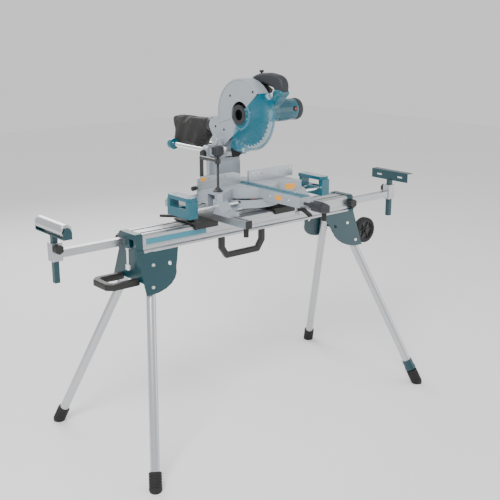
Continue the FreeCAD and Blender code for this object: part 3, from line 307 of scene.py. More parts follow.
joint_places = {joint["name"]: joint for joint in frame["joints"]}
for end in ("front", "rear"):
    for side in ("left", "right"):
        hinge = joint_places[f"fold_leg_{end}_{side}"]
        out = Vector(hinge["axis"])
        out = out if out.z > 0 else -out
        pivot = Vector(hinge["pos_m"]) - out * 22.5 * MM
        side_x, side_y = (1 if side == "right" else -1), (1 if end == "rear" else -1)
        lean, splay = math.radians(22.5), math.radians(14.5)
        upward = Vector((0, -side_y * math.sin(lean), math.cos(lean)))
        along = -(upward * math.cos(splay) + Vector((-side_x, 0, 0)) * math.sin(splay))
        length = pivot.z / -along.z
        body = f"leg_{end}_{side}"
        boot_top = length - 66 * MM
        ribs = [(17.5, 4), (24, 0)]
        for rib in range(5):
            ribs += [(24, -7 - rib * 10), (22.4, -8 - rib * 10), (22.4, -10 - rib * 10),
                     (24, -11 - rib * 10)]
        ribs += [(24, -60), (15, -81), (0, -81)]
        boot = turned([(0, -4 * MM)] + [(r * MM, -h * MM) for r, h in ribs], 40)
        set_at(boot, pivot + along * boot_top, along)
        adjustable = (end, side) == ("front", "right")
        fit(f"boot_{end}_{side}", cut_flat(boot), black_rubber,
            "levelling_foot" if adjustable else body,
            ["levelling_foot"] if adjustable else ())
        tube_end = boot_top - (6 * MM if adjustable else -2 * MM)
        tube = turned([(0, -28 * MM), (16.5 * MM, -28 * MM), (17.5 * MM, -27 * MM),
                       (17.5 * MM, tube_end), (0, tube_end)], 40)
        fit(f"tube_{end}_{side}", set_at(tube, pivot, along), leg_tube, body,
            [body])
        if adjustable:
            collar = turned([(17.4 * MM, 0), (22.5 * MM, 0), (22.5 * MM, 30 * MM), (24.5 * MM, 33 * MM),
                             (24.5 * MM, 46 * MM), (22.5 * MM, 48 * MM), (17.4 * MM, 48 * MM)], 40)
            fit("foot_collar", set_at(collar, pivot + along * (tube_end - 48 * MM), along), teal_coat,
                body)


# ---------------------------------------------------------------- handles and lock lever
# Two U-handles moulded in black nylon, one under the beam and one flat on the left bracket, and a
# chrome crank with a knurled end that locks the left cap.
black_nylon = coated("black_nylon", (0.012, 0.012, 0.011), 0.46, 600, 0.14)
chrome = drawn_metal("chrome_plate", (0.86, 0.87, 0.88), 0.1, (8, 8, 8), 0.005)
ease("carry_handle", 0.005, black_nylon, "stand")
ease("end_handle", 0.005, black_nylon, "stand")
ease("end_lock_lever", 0.0012, chrome, "end_lock_lever")


def repeat_tree(name, around):
    """A node tree that repeats a part round a ring, or along a row."""
    tree = bpy.data.node_groups.new(name, "GeometryNodeTree")
    sockets = [("Part", "NodeSocketObject"), ("Count", "NodeSocketInt"),
               ("Radius", "NodeSocketFloat") if around else ("Step", "NodeSocketVector"),
               ("Finish", "NodeSocketMaterial")]
    for label, kind in sockets:
        tree.interface.new_socket(name=label, in_out="INPUT", socket_type=kind)
    tree.interface.new_socket(name="Geometry", in_out="OUTPUT", socket_type="NodeSocketGeometry")

    def add(kind, **settings):
        made = tree.nodes.new(kind)
        for setting, value in settings.items():
            setattr(made, setting, value)
        return made

    def wire(source, output, target, socket):
        tree.links.new(source.outputs[output], target.inputs[socket])

    given, result = add("NodeGroupInput"), add("NodeGroupOutput")
    part = add("GeometryNodeObjectInfo")
    copies = add("GeometryNodeInstanceOnPoints")
    real, painted = add("GeometryNodeRealizeInstances"), add("GeometryNodeSetMaterial")
    wire(given, "Part", part, "Object")
    if around:
        ring, index = add("GeometryNodeMeshCircle"), add("GeometryNodeInputIndex")
        share = add("ShaderNodeMath", operation="DIVIDE")
        turn = add("ShaderNodeMath", operation="MULTIPLY")
        turn.inputs[1].default_value = math.tau
        vector = add("ShaderNodeCombineXYZ")
        wire(given, "Count", ring, "Vertices")
        wire(given, "Radius", ring, "Radius")
        wire(index, 0, share, 0)
        wire(given, "Count", share, 1)
        wire(share, 0, turn, 0)
        wire(turn, 0, vector, "Z")
        wire(ring, 0, copies, "Points")
        wire(vector, 0, copies, "Rotation")
    else:
        row = add("GeometryNodeMeshLine")
        wire(given, "Count", row, "Count")
        wire(given, "Step", row, "Offset")
        wire(row, 0, copies, "Points")
    wire(part, "Geometry", copies, "Instance")
    wire(copies, 0, real, 0)
    wire(real, 0, painted, "Geometry")
    wire(given, "Finish", painted, "Material")
    wire(painted, 0, result, "Geometry")
    return tree


ring_of, row_of = repeat_tree("ring_of_parts", True), repeat_tree("row_of_parts", False)


def repeated(tree, part, finish, **inputs):
    """The part repeated by the tree, as one plain shape."""
    pattern = bpy.data.objects.new("pattern", finished_mesh("pattern", part, finish))
    host = bpy.data.objects.new("host", bpy.data.meshes.new("host"))
    for thing in (pattern, host):
        bpy.context.scene.collection.objects.link(thing)
    maker = host.modifiers.new("repeat", "NODES")
    maker.node_group = tree
    keys = {item.name: item.identifier for item in tree.interface.items_tree
            if item.in_out == "INPUT"}
    for label, value in dict(inputs, Part=pattern, Finish=finish).items():
        maker[keys[label]] = value
    host.update_tag()
    graph = bpy.context.evaluated_depsgraph_get()
    graph.update()
    mesh = bpy.data.meshes.new_from_object(host.evaluated_get(graph))
    shape = bmesh.new()
    shape.from_mesh(mesh)
    for thing in (host, pattern):
        bpy.data.objects.remove(thing)
    bpy.data.meshes.remove(mesh)
    return shape


low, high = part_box("end_lock_lever")
knurls = repeated(ring_of, block((-0.4 * MM, -0.5 * MM, 0), (0.4 * MM, 0.5 * MM, 18 * MM)), chrome,
                  Count=28, Radius=9.4 * MM)
grip_x = low[0] + 9.5 * MM
fit("lever_knurls", set_at(knurls, (grip_x, low[1] + 9.5 * MM, low[2] + 2 * MM), (0, 0, 1)), chrome,
    "end_lock_lever")


# ---------------------------------------------------------------- wheels
# Two transport wheels on sheet brackets at the right end: a black rubber tread on a moulded hub with
# six webs, held on the axle by a domed cap.
ease("wheel_brackets", 0.0008, teal_coat, "stand")
hub_plastic = coated("wheel_hub_plastic", (0.035, 0.036, 0.038), 0.42, 500, 0.08)
for end in ("front", "rear"):
    low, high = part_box(f"wheel_{end}")
    centre = Vector(((low[0] + high[0]) / 2, (low[1] + high[1]) / 2, (low[2] + high[2]) / 2))
    tread = [(43, -16), (54, -16), (57, -13), (58, -8), (56.8, -7), (56.8, -5), (58, -4), (58, 4),
             (56.8, 5), (56.8, 7), (58, 8), (57, 13), (54, 16), (43, 16)]
    tyre = set_at(turned(metres(tread), 72), centre, (0, 1, 0))
    fit(f"tread_{end}", tyre, black_rubber, f"wheel_{end}", [f"wheel_{end}"])
    rim = turned(metres([(6.1, -14), (15, -14), (16, -12), (16, -4), (40, -4),
                         (40, -13), (43.4, -13), (43.4, 13), (40, 13),
                         (40, 4), (16, 4), (16, 12), (15, 14), (6.1, 14)]), 64)
    fit(f"hub_{end}", set_at(rim, centre, (0, 1, 0)), hub_plastic, f"wheel_{end}")
    webs = repeated(ring_of, block((-12.5 * MM, -2 * MM, -11 * MM), (12.5 * MM, 2 * MM, 11 * MM),
                                   0.0006), hub_plastic, Count=6, Radius=28 * MM)
    cap = turned(metres([(0, -23), (9.5, -23), (12, -21), (12.4, -14.6),
                         (0, -14.6)]), 32)
    if end == "rear":
        cap.transform(Matrix.Diagonal((1, 1, -1, 1)))
        bmesh.ops.recalc_face_normals(cap, faces=cap.faces)
    fit(f"wheel_cap_{end}", set_at(cap, centre, (0, 1, 0)), black_nylon, f"wheel_{end}")
    fit(f"webs_{end}", set_at(webs, centre, (0, 1, 0)), hub_plastic, f"wheel_{end}")


# ---------------------------------------------------------------- extension arms
# Square aluminium tubes that slide in the beam, with clamp blocks and lobed nylon knobs. The left
# one carries a steel roller in a folded cradle, the right one a slotted end stop.
rolled_steel = drawn_metal("ground_steel", (0.60, 0.61, 0.63), 0.26, (20, 1, 20))
for side in ("left", "right"):
    ease(f"arm_{side}", 0.0008, anodised, f"arm_{side}")
    for kind in ("arm", "post"):
        ease(f"{kind}_knob_{side}", 0.0022, black_nylon, f"{kind}_knob_{side}")
ease("roller_post", 0.0008, teal_coat, "roller_post")
ease("stop_post", 0.0008, teal_coat, "stop_post")
low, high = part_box("roller")
middle = Vector((low[0] + high[0], 0, low[2] + high[2])) / 2
half = (high[1] - low[1]) / 2
sleeve = [(5.1, -1), (19, -1), (21.5, -0.985), (22.5, -0.97), (22.5, 0.97), (21.5, 0.985), (19, 1),
          (5.1, 1)]
roller = turned([(r * MM, h * half) for r, h in sleeve], 64)
fit("roller_sleeve", set_at(roller, (middle.x, (low[1] + high[1]) / 2, middle.z), (0, 1, 0)),
    rolled_steel, "roller", ["roller"])


# ---------------------------------------------------------------- tool mounts
# Two slotted cross rails on carriages that a cam lever clamps to the beam. The saw's feet are bolted
# to the rails' slots; rubber feet close the rails' ends.
ease("mount_rails", 0.0008, anodised, "saw_base")
ease("mount_carriages", 0.001, black_nylon, "saw_base")
ease("rail_end_feet", 0.0015, black_rubber, "saw_base")
ease("mount_bolts", 0.0007, zinc, "saw_base")
for side in ("left", "right"):
    ease(f"cam_lever_{side}", 0.002, black_nylon, f"cam_lever_{side}")
rail_low, rail_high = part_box("mount_rails")
for side, x in (("left", rail_low[0] + 15 * MM), ("right", rail_high[0] - 15 * MM)):
    for end, y in (("front", rail_low[1]), ("rear", rail_high[1])):
        face = (y - 2 * MM, y) if end == "front" else (y, y + 2 * MM)
        cap = block((x - 15.5 * MM, face[0], rail_high[2] - 30.5 * MM),
                    (x + 15.5 * MM, face[1], rail_high[2]), 0.0007)
        fit(f"rail_cap_{side}_{end}", cap, black_nylon, "saw_base")


# ---------------------------------------------------------------- saw base
# Aluminium die casting under a blue-grey lacquer: a ring for the turntable, two pedestals pocketed
# between the rods and four bolted feet. A dark scale ring with light marks lies before the table.
casting = coated("lacquered_casting", (0.33, 0.37, 0.41), 0.34, 420, 0.16, coat=0.25, metallic=0.1)
ease("saw_base", 0.0018, casting, "saw_base")
saw = Vector((0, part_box("fence_right")[0][1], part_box("saw_base")[0][2]))
amber = coated("plain_amber_patch", (0.85, 0.36, 0.03), 0.4, 300, 0.01)
scale_black = coated("scale_black", (0.02, 0.021, 0.024), 0.34, 300, 0.02)
mark_white = coated("mark_white", (0.75, 0.76, 0.76), 0.45, 300, 0.01)


def on_saw(x, y, z):
    """A place given in millimetres from the saw's middle, at its fence and under its feet."""
    return saw + Vector((x, y, z)) * MM


def saw_block(x, y, z, width=0.0, segments=2):
    return block(on_saw(x[0], y[0], z[0]), on_saw(x[1], y[1], z[1]), width, segments)


scale_ring = turned([(141.5 * MM, 38.1 * MM), (149.5 * MM, 38.1 * MM), (149.5 * MM, 38.7 * MM),
                     (141.5 * MM, 38.7 * MM)], 90, 182, 358)
fit("mitre_scale", set_at(scale_ring, saw, (0, 0, 1)), scale_black, "saw_base")
marks = repeated(ring_of, block((-1.6 * MM, -0.25 * MM, 0), (1.6 * MM, 0.25 * MM, 0.5 * MM)),
                 mark_white, Count=180, Radius=145.5 * MM)
set_at(marks, on_saw(0, 0, 38.5), (0, 0, 1))
behind = [v for v in marks.verts if v.co.y > saw.y - 8 * MM]
bmesh.ops.delete(marks, geom=behind, context="VERTS")
fit("mitre_scale_marks", marks, mark_white, "saw_base")
label = block((-20 * MM, -0.3 * MM, -12 * MM), (20 * MM, 0.3 * MM, 12 * MM))
label.transform(Matrix.Rotation(math.radians(-30), 4, "Z"))
label.transform(Matrix.Translation(on_saw(167, -95.5, 58)))
fit("pedestal_patch", label, amber, "saw_base")


# ---------------------------------------------------------------- fences
# Machined aluminium straight edges screwed to the pedestals. The upper left one slides out on its
# guide, clamped by a small knob.
machined = drawn_metal("machined_face", (0.46, 0.49, 0.52), 0.3, (1, 40, 40), metallic=0.8)
for node, body in (("fence_left", "saw_base"), ("fence_right", "saw_base"), ("sub_fence", "sub_fence")):
    ease(node, 0.0009, machined, body)
ease("sub_fence_knob", 0.0015, black_nylon, "sub_fence_knob")


def screw_head(radius, height):
    """A socket-headed screw: a drum with a shallow round hollow."""
    head = turned([(0, -1 * MM), (radius, -1 * MM), (radius, height * 0.8), (radius * 0.85, height),
                   (radius * 0.5, height), (radius * 0.45, height * 0.4), (0, height * 0.4)], 24)
    return head


for index, x in enumerate((45, 72, 232, 250)):
    screw = set_at(screw_head(4.2 * MM, 1.2 * MM), on_saw(x, 0, 112), (0, -1, 0))
    fit(f"fence_screw_{index}", screw, zinc, "saw_base")
fit("sub_fence_patch", saw_block((-222, -196), (-0.4, 0.3), (112, 126)), amber, "sub_fence")


# ---------------------------------------------------------------- side supports
# Teal moulded frames on two steel rods each, with a light grey top plate let into a thin teal rim.
# They slide out to hold long stock.
teal_plastic = coated("teal_moulding", (0.002, 0.105, 0.15), 0.26, 500, 0.05, coat=0.35)
light_plate = coated("light_grey_plate", (0.36, 0.41, 0.45), 0.4, 400, 0.05)
for side, sign in (("left", -1), ("right", 1)):
    node = f"sub_base_{side}"
    ease(node, 0.0018, teal_plastic, node)
    outline = [(328, -109), (357, -119), (368.5, -109.5), (368.5, 10), (361, 19), (328, 19)]
    plate = bmesh.new()
    ring = [plate.verts.new(on_saw(sign * x, y, 79.9)) for x, y in outline]
    face = plate.faces.new(ring)
    raised = bmesh.ops.extrude_face_region(plate, geom=[face])
    bmesh.ops.translate(plate, vec=(0, 0, 0.3 * MM),
                        verts=[v for v in raised["geom"] if isinstance(v, bmesh.types.BMVert)])
    bmesh.ops.recalc_face_normals(plate, faces=plate.faces)
    fit(f"support_plate_{side}", plate, light_plate, node)
    for index, y in enumerate((-100, -30)):
        bar = turned([(0, 0), (6.03 * MM, 0), (6.03 * MM, 207 * MM), (0, 207 * MM)], 32)
        fit(f"support_rod_{side}_{index}", set_at(bar, on_saw(sign * 119.5, y, 30), (sign, 0, 0)),
            chrome, node)
    for index, y in enumerate((-94, -6)):
        ring = turned([(3.2 * MM, 0), (6.2 * MM, 0), (6.2 * MM, 0.3 * MM), (3.2 * MM, 0.3 * MM)], 28)
        fit(f"support_ring_{side}_{index}", set_at(ring, on_saw(sign * 348, y, 80.05), (0, 0, 1)),
            teal_plastic, node)


# ---------------------------------------------------------------- vise
# Black enamelled steel arm on a post behind the fence. Its threaded spindle ends in a round pad and
# is turned by a tall ribbed knob.
enamel = coated("black_enamel", (0.016, 0.016, 0.018), 0.28, 400, 0.05, coat=0.4)
soft_grey = coated("dark_grey_soft_grip", (0.022, 0.025, 0.031), 0.6, 520, 0.2)
ease("vise_arm", 0.0006, enamel, "vise_arm")
low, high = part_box("vise_screw")
screw_at = Vector(((low[0] + high[0]) / 2, (low[1] + high[1]) / 2, low[2]))
thread = [(0, 3)]
for turn in range(44):
    thread += [(5.4, 10 + turn * 2.8), (4.5, 11.4 + turn * 2.8)]
thread += [(5.4, 133.5), (0, 133.5)]
spindle = turned(metres(thread), 28)
fit("vise_thread", set_at(spindle, screw_at, (0, 0, 1)), enamel, "vise_screw",
    ["vise_screw"])
pad = turned(metres([(0, 0), (19, 0), (20, 1), (20, 3.4), (16, 4.5), (9, 13),
                     (7, 15.5), (0, 15.5)]), 48)
fit("vise_pad", set_at(pad, screw_at, (0, 0, 1)), enamel, "vise_screw")
knob = turned(metres([(0, 135.6), (12, 135.6), (15, 139), (21, 143), (22.5, 150),
                      (22.5, 168), (21, 174), (15, 178), (0, 178.6)]), 48)
fit("vise_knob", set_at(knob, screw_at, (0, 0, 1)), soft_grey, "vise_screw")
ribs = repeated(ring_of, block((-1.6 * MM, -2.2 * MM, 0), (1.6 * MM, 2.2 * MM, 26 * MM), 0.0009),
                soft_grey, Count=14, Radius=22.6 * MM)
fit("vise_knob_ribs", set_at(ribs, screw_at + Vector((0, 0, 146 * MM)), (0, 0, 1)), soft_grey,
    "vise_screw")


# ---------------------------------------------------------------- turntable
# The turned casting with its long arm. Teal kerf boards are screwed into a rebate on both sides of
# the slot, and a red pointer rides over the scale.
pointer_red = coated("pointer_red", (0.62, 0.02, 0.015), 0.35, 300, 0.01)
board_teal = coated("kerf_board_teal", (0.035, 0.15, 0.2), 0.48, 500, 0.08)
ease("turntable", 0.0016, casting, "turntable")
ease("kerf_boards", 0.0004, board_teal, "turntable")
for side, sign in (("left", -1), ("right", 1)):
    small = turned([(0, 0), (3.1 * MM, 0), (3.1 * MM, 0.5 * MM), (1.5 * MM, 0.5 * MM),
                    (1.2 * MM, 0.15 * MM), (0, 0.15 * MM)], 16)
    row = repeated(row_of, small, scale_black, Count=5, Step=(0, 74 * MM, 0))
    fit(f"board_screws_{side}", set_at(row, on_saw(sign * 20, -335, 80), (0, 0, 1)), scale_black,
        "turntable")
pointer = bmesh.new()
tip = [(-66, -134), (-54, -134), (-57, -137.5), (-58.2, -141.5), (-61.8, -141.5), (-63, -137.5)]
corners = [pointer.verts.new(on_saw(x, y, 43.0)) for x, y in tip]
face = pointer.faces.new(corners)
raised = bmesh.ops.extrude_face_region(pointer, geom=[face])
bmesh.ops.translate(pointer, vec=(0, 0, 1.6 * MM),
                    verts=[v for v in raised["geom"] if isinstance(v, bmesh.types.BMVert)])
bmesh.ops.recalc_face_normals(pointer, faces=pointer.faces)
fit("scale_pointer", pointer, pointer_red, "turntable")
fit("arm_patch", saw_block((-29.5, -28.6), (-262, -224), (50, 68)), amber, "turntable")
for index, y in enumerate((-300, -190)):
    stop = set_at(screw_head(6 * MM, 4 * MM), on_saw(-29, y, 58), (-1, 0, 0))
    fit(f"arm_stop_screw_{index}", stop, zinc, "turntable")


# ---------------------------------------------------------------- mitre grip and lock lever
# A soft moulded grip screwed into the arm's tip clamps the table, and a sprung nylon lever below it
# lifts the pin out of the fixed angles.
low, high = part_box("mitre_grip")
grip_axis = Vector(((low[0] + high[0]) / 2, high[1], (low[2] + high[2]) / 2))
far = high[1] - low[1]
profile = [(0, 0.4), (6, 0.4), (6, far / MM - 92), (11, far / MM - 90), (11, far / MM - 80),
           (15, far / MM - 76), (19.5, far / MM - 62), (20.5, far / MM - 42), (18.5, far / MM - 24),
           (17, far / MM - 14), (18, far / MM - 8), (15, far / MM - 1.5), (0, far / MM - 0.2)]
grip = turned(metres(profile), 48)
fit("mitre_grip_core", set_at(grip, grip_axis, (0, -1, 0)), soft_grey, "mitre_grip",
    ["mitre_grip"])
flutes = repeated(ring_of, block((-2.4 * MM, -3.4 * MM, 0), (1.6 * MM, 3.4 * MM, 52 * MM), 0.0016),
                  soft_grey, Count=8, Radius=19.6 * MM)
fit("mitre_grip_flutes", set_at(flutes, grip_axis + Vector((0, -(far - 72 * MM), 0)), (0, -1, 0)),
    soft_grey, "mitre_grip")
ease("mitre_lock_lever", 0.0015, black_nylon, "mitre_lock_lever")


# ---------------------------------------------------------------- bevel frame and slide
# The casting that tilts behind the table and holds the rods' bearings, and the rods themselves: hard
# chromed steel, with moulded end caps and the head's pivot bracket in front.
ease("bevel_frame", 0.0022, casting, "bevel_frame")
ease("slide_lock_knob", 0.0022, black_nylon, "slide_lock_knob")
ease("slide_rods", 0.0008, chrome, "carriage")
ease("pivot_bracket", 0.002, casting, "carriage")
ease("pivot_pin", 0.0006, zinc, "carriage")
rods_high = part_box("slide_rods")[1]
for side, sign in (("left", -1), ("right", 1)):
    end = rods_high[1] - saw.y
    cap = turned(metres([(10.2, 0), (23, 0), (24, 1.5), (24, 22), (22, 24.6),
                         (14, 24.6), (13, 23.4), (10.2, 23.4)]), 48)
    fit(f"rod_cap_{side}", set_at(cap, on_saw(sign * 62, end / MM - 24.2, 200), (0, 1, 0)),
        teal_plastic, "carriage")
    seal = turned(metres([(10.1, 0), (15, 0), (15, 3), (13.5, 4), (10.1, 4)]), 40)
    fit(f"rod_seal_{side}", set_at(seal, on_saw(sign * 62, 171.5, 200), (0, 1, 0)), black_rubber,
        "bevel_frame")


# ---------------------------------------------------------------- blade case
# The head casting over the blade's upper half: a lacquered drum with an arm back to the pivot, a
# raised lip round the cut-out for the hub, and a ribbed boss on the pivot pin.
arbor_y, arbor_z = -22, 361
ease("blade_case", 0.003, casting, "head")
lip = turned(metres([(52.2, 0), (60, 0), (60, 2), (58, 3.6), (54, 3.6),
                     (52.2, 2.4)]), 72)
fit("hub_lip", set_at(lip, on_saw(-39.6, arbor_y, arbor_z), (-1, 0, 0)), casting, "head")
rim = turned(metres([(135, 0), (141.8, 0), (141.8, 1.4), (140, 2.6), (136, 2.6),
                     (135, 1.6)]), 70, -11, 139.5)
rim.transform(Matrix(((0, 0, -1, 0), (1, 0, 0, 0), (0, 1, 0, 0), (0, 0, 0, 1))))
rim.transform(Matrix.Translation(on_saw(-39.8, arbor_y, arbor_z)))
bmesh.ops.recalc_face_normals(rim, faces=rim.faces)
fit("case_rim", rim, casting, "head")
boss_at = on_saw(-61.8, 110, 246)
boss = turned(metres([(0, 0), (19, 0), (19, 6), (17, 8), (9, 8), (8, 6.5),
                      (0, 6.5)]), 48)
fit("pivot_boss", set_at(boss, boss_at, (-1, 0, 0)), casting, "carriage")
spokes = repeated(ring_of, block((-5 * MM, -1.2 * MM, 0), (5 * MM, 1.2 * MM, 8.6 * MM), 0.0005),
                  casting, Count=8, Radius=13.6 * MM)
fit("pivot_boss_ribs", set_at(spokes, boss_at, (-1, 0, 0)), casting, "carriage")
sleeve = turned(metres([(24.2, 0), (30.5, 0), (31.5, 2), (31.5, 15), (30, 17),
                        (24.2, 17)]), 56)
fit("nozzle_collar", set_at(sleeve, on_saw(-8, 188, 301), (0, 1, 0)), scale_black, "head")
for index, (y, z) in enumerate(((-100, 455), (40, 432), (84, 292), (140, 300))):
    face_x = -39.9 if index < 2 else -37.9
    screw = set_at(screw_head(4.6 * MM, 2 * MM), on_saw(face_x, y, z), (-1, 0, 0))
    fit(f"case_screw_{index}", screw, scale_black, "head")
ease("dust_flap", 0.0008, black_rubber, "head")


# ---------------------------------------------------------------- blade and spindle
# A toothed steel disc, ground dull and clamped between two flanges by the arbor bolt. Real teeth
# carry brazed carbide tips; here teeth and disc are one piece.
blade_steel = drawn_metal("ground_blade_steel", (0.20, 0.21, 0.225), 0.36, (40, 1, 1), 0.02)
ease("saw_blade", 0.0, blade_steel, "blade")
ease("blade_spindle", 0.0005, zinc, "blade")
washer = turned(metres([(9.2, 0), (17, 0), (17, 1.2), (15, 2), (9.2, 2)]), 40)
fit("arbor_washer", set_at(washer, on_saw(-8.2, arbor_y, arbor_z), (-1, 0, 0)), scale_black,
    "blade")


# ---------------------------------------------------------------- lower guard
# Clear tinted polycarbonate over the blade's lower front: a side wall with raised rings and a rim
# that wraps the teeth. It swings up round the hub as the head comes down.
clear = Finish("clear_teal_polycarbonate", Roughness=0.06, Alpha=0.34, IOR=1.45, Coat_Weight=0.25,
               Coat_Roughness=0.03)
streak = clear.noise(14, 2)
clear.feed("Base Color", clear.blend(streak, (0.0, 0.20, 0.30, 1), (0.0, 0.22, 0.33, 1)))
clear = clear.material
section = [(34, -46), (60, -46), (62, -47.6), (66, -47.6), (68, -46), (98, -46), (100, -47.6),
           (104, -47.6), (106, -46), (130, -46), (144, -45), (149.5, -41), (149.5, 15), (137.5, 15),
           (137.5, 12.5), (146.5, 12.5), (146.5, -40), (142, -42.8), (130, -43.5), (34, -43.5)]
guard = turned(metres(section), 60, 142.5, 294)
guard.transform(Matrix(((0, 0, 1, 0), (1, 0, 0, 0), (0, 1, 0, 0), (0, 0, 0, 1))))
guard.transform(Matrix.Translation(on_saw(0, arbor_y, arbor_z)))
bmesh.ops.recalc_face_normals(guard, faces=guard.faces)
fit("guard_shell", guard, clear, "lower_guard", ["lower_guard"])
hub = turned(metres([(22, 0), (40, 0), (40, 3.2), (36, 4.4), (26, 4.4),
                     (22, 3)]), 64)
fit("guard_hub", set_at(hub, on_saw(-43.4, arbor_y, arbor_z), (-1, 0, 0)), scale_black, "lower_guard")
vents = repeated(ring_of, block((-13 * MM, -1.4 * MM, 0), (13 * MM, 1.4 * MM, 1.8 * MM), 0.0005),
                 clear, Count=36, Radius=121 * MM)
vents.transform(Matrix(((0, 0, -1, 0), (1, 0, 0, 0), (0, 1, 0, 0), (0, 0, 0, 1))))
vents.transform(Matrix.Translation(on_saw(-45.8, arbor_y, arbor_z)))
centre = on_saw(0, arbor_y, arbor_z)
outside = []
for v in vents.verts:
    angle = math.degrees(math.atan2(v.co.z - centre.z, v.co.y - centre.y)) % 360
    if not 147 < angle < 290:
        outside.append(v)
bmesh.ops.delete(vents, geom=outside, context="VERTS")
bmesh.ops.holes_fill(vents, edges=[edge for edge in vents.edges if edge.is_boundary])
bmesh.ops.recalc_face_normals(vents, faces=vents.faces)
fit("guard_ribs", vents, clear, "lower_guard")


# ---------------------------------------------------------------- motor
# A teal moulded barrel over the motor, with cooling ribs, a dark vented end cap and the screw cap of
# one brush. The armature and its pinion turn inside.
motor_y, motor_z = -62, 371
barrel_at = on_saw(58, motor_y, motor_z)
shell = turned(metres([(6.1, 0.2), (42, 0.2), (43, 2), (43, 40), (41.6, 42),
                       (41.6, 48), (43, 50), (43, 120), (44, 124),
                       (44, 142), (43, 145.6), (39, 145.6), (39, 4),
                       (6.1, 4)]), 72)
fit("motor_barrel", set_at(shell, barrel_at, (1, 0, 0)), teal_plastic, "head",
    ["motor_housing"])
ribs = repeated(ring_of, block((-1.2 * MM, -1.1 * MM, 0), (1.2 * MM, 1.1 * MM, 56 * MM), 0.0006),
                teal_plastic, Count=30, Radius=43.2 * MM)
fit("motor_ribs", set_at(ribs, on_saw(112, motor_y, motor_z), (1, 0, 0)), teal_plastic, "head")
cap = turned(metres([(0, 23), (38, 23), (38, 0.3), (44.4, 0.3), (44.5, 16), (42, 23), (36, 27.6),
                     (14, 28), (0, 28)]), 72)
fit("motor_cap", set_at(cap, on_saw(204, motor_y, motor_z), (1, 0, 0)), soft_grey, "head",
    ["motor_end_cap"])
slits = repeated(ring_of, block((-7 * MM, -1.3 * MM, 0), (7 * MM, 1.3 * MM, 0.7 * MM), 0.0003),
                 scale_black, Count=20, Radius=26 * MM)
fit("cap_slits", set_at(slits, on_saw(231.6, motor_y, motor_z), (1, 0, 0)), scale_black, "head")
brush = turned(metres([(0, -6), (10.5, -6), (10.5, 2), (9, 3.4), (0, 3.4)]), 36)
fit("brush_cap", set_at(brush, on_saw(182, -105, 377), (0, -1, 0)), black_nylon, "head")
disc = turned(metres([(0, 0), (4.5, 0), (4.5, 0.6), (0, 0.6)]), 24)
fit("brush_cap_centre", set_at(disc, on_saw(182, -108.3, 377), (0, -1, 0)), pointer_red, "head")
ease("motor_armature", 0.0, zinc, "armature")


# ---------------------------------------------------------------- main handle
# A closed D-handle over the head, its bow covered in soft dark grey rubber on a teal moulded base.
# The trigger sits in the bow's underside and the lock-off button on its top.
def rounded_slab(outline, holes, low, high, edge, finish, name, body, replaces=()):
    """A plate in the YZ plane with a smooth curved outline and deeply rounded edges."""
    curve = bpy.data.curves.new("outline", "CURVE")
    curve.dimensions, curve.fill_mode = "2D", "BOTH"
    curve.resolution_u, curve.bevel_resolution = 6, 4
    curve.extrude = (high - low) / 2 - edge
    curve.bevel_depth = edge
    for points, inset in [(outline, 1)] + [(hole, -1) for hole in holes]:
        count = len(points)
        area = sum(points[i - 1][0] * points[i][1] - points[i][0] * points[i - 1][1]
                   for i in range(count))
        spline = curve.splines.new("BEZIER")
        spline.bezier_points.add(count - 1)
        for i, knot in enumerate(spline.bezier_points):
            along = Vector(points[(i + 1) % count]) - Vector(points[i - 1])
            inward = Vector((-along.y, along.x)).normalized() * math.copysign(edge, area) * inset
            knot.co = (points[i][0] + inward.x, points[i][1] + inward.y, 0)
            knot.handle_left_type = knot.handle_right_type = "AUTO"
        spline.use_cyclic_u = True
    maker = bpy.data.objects.new("maker", curve)
    bpy.context.scene.collection.objects.link(maker)
    graph = bpy.context.evaluated_depsgraph_get()
    graph.update()
    mesh = bpy.data.meshes.new_from_object(maker.evaluated_get(graph))
    shape = bmesh.new()
    shape.from_mesh(mesh)
    bpy.data.objects.remove(maker)
    shape.transform(Matrix(((0, 0, 1, (low + high) / 2), (1, 0, 0, 0), (0, 1, 0, 0), (0, 0, 0, 1))))
    shape.transform(Matrix.Translation(saw))
    bmesh.ops.remove_doubles(shape, verts=shape.verts, dist=1e-5)
    bmesh.ops.recalc_face_normals(shape, faces=shape.faces)
    return fit(name, shape, finish, body, replaces, sharp=60)


bow = metres([(36, 432), (34, 458), (-12, 500), (-44, 516), (-90, 525), (-150, 522), (-188, 510),
              (-203, 488), (-203, 462), (-190, 440), (-150, 402), (-110, 380), (-60, 376), (0, 380)])
finger_gap = metres([(-48, 478), (-56, 458), (-62, 432), (-92, 421), (-128, 425), (-150, 446),
                     (-152, 466), (-124, 476), (-86, 482)])
rounded_slab(bow, [finger_gap], 18 * MM, 58 * MM, 11 * MM, soft_grey, "handle_bow", "head",
             ["main_handle"])
base = metres([(34, 424), (32, 456), (6, 486), (-30, 504), (-52, 494), (-50, 470), (-58, 446),
               (-66, 428), (-94, 417), (-128, 420), (-150, 440), (-154, 458), (-180, 466),
               (-202, 456), (-192, 438), (-152, 400), (-110, 380), (-60, 376), (0, 380)])
rounded_slab(base, [], 15 * MM, 61 * MM, 6 * MM, teal_plastic, "handle_base", "head")
button_boss = turned(metres([(4.4, -12), (17, -12), (14, 0), (12.5, 2), (4.4, 2)]),
                     40)
fit("button_boss", set_at(button_boss, on_saw(38, -62, 519.4), (0, 0, 1)), teal_plastic, "head")
ease("trigger", 0.002, black_nylon, "trigger")
ease("lock_off_button", 0.0015, black_nylon, "lock_off_button")


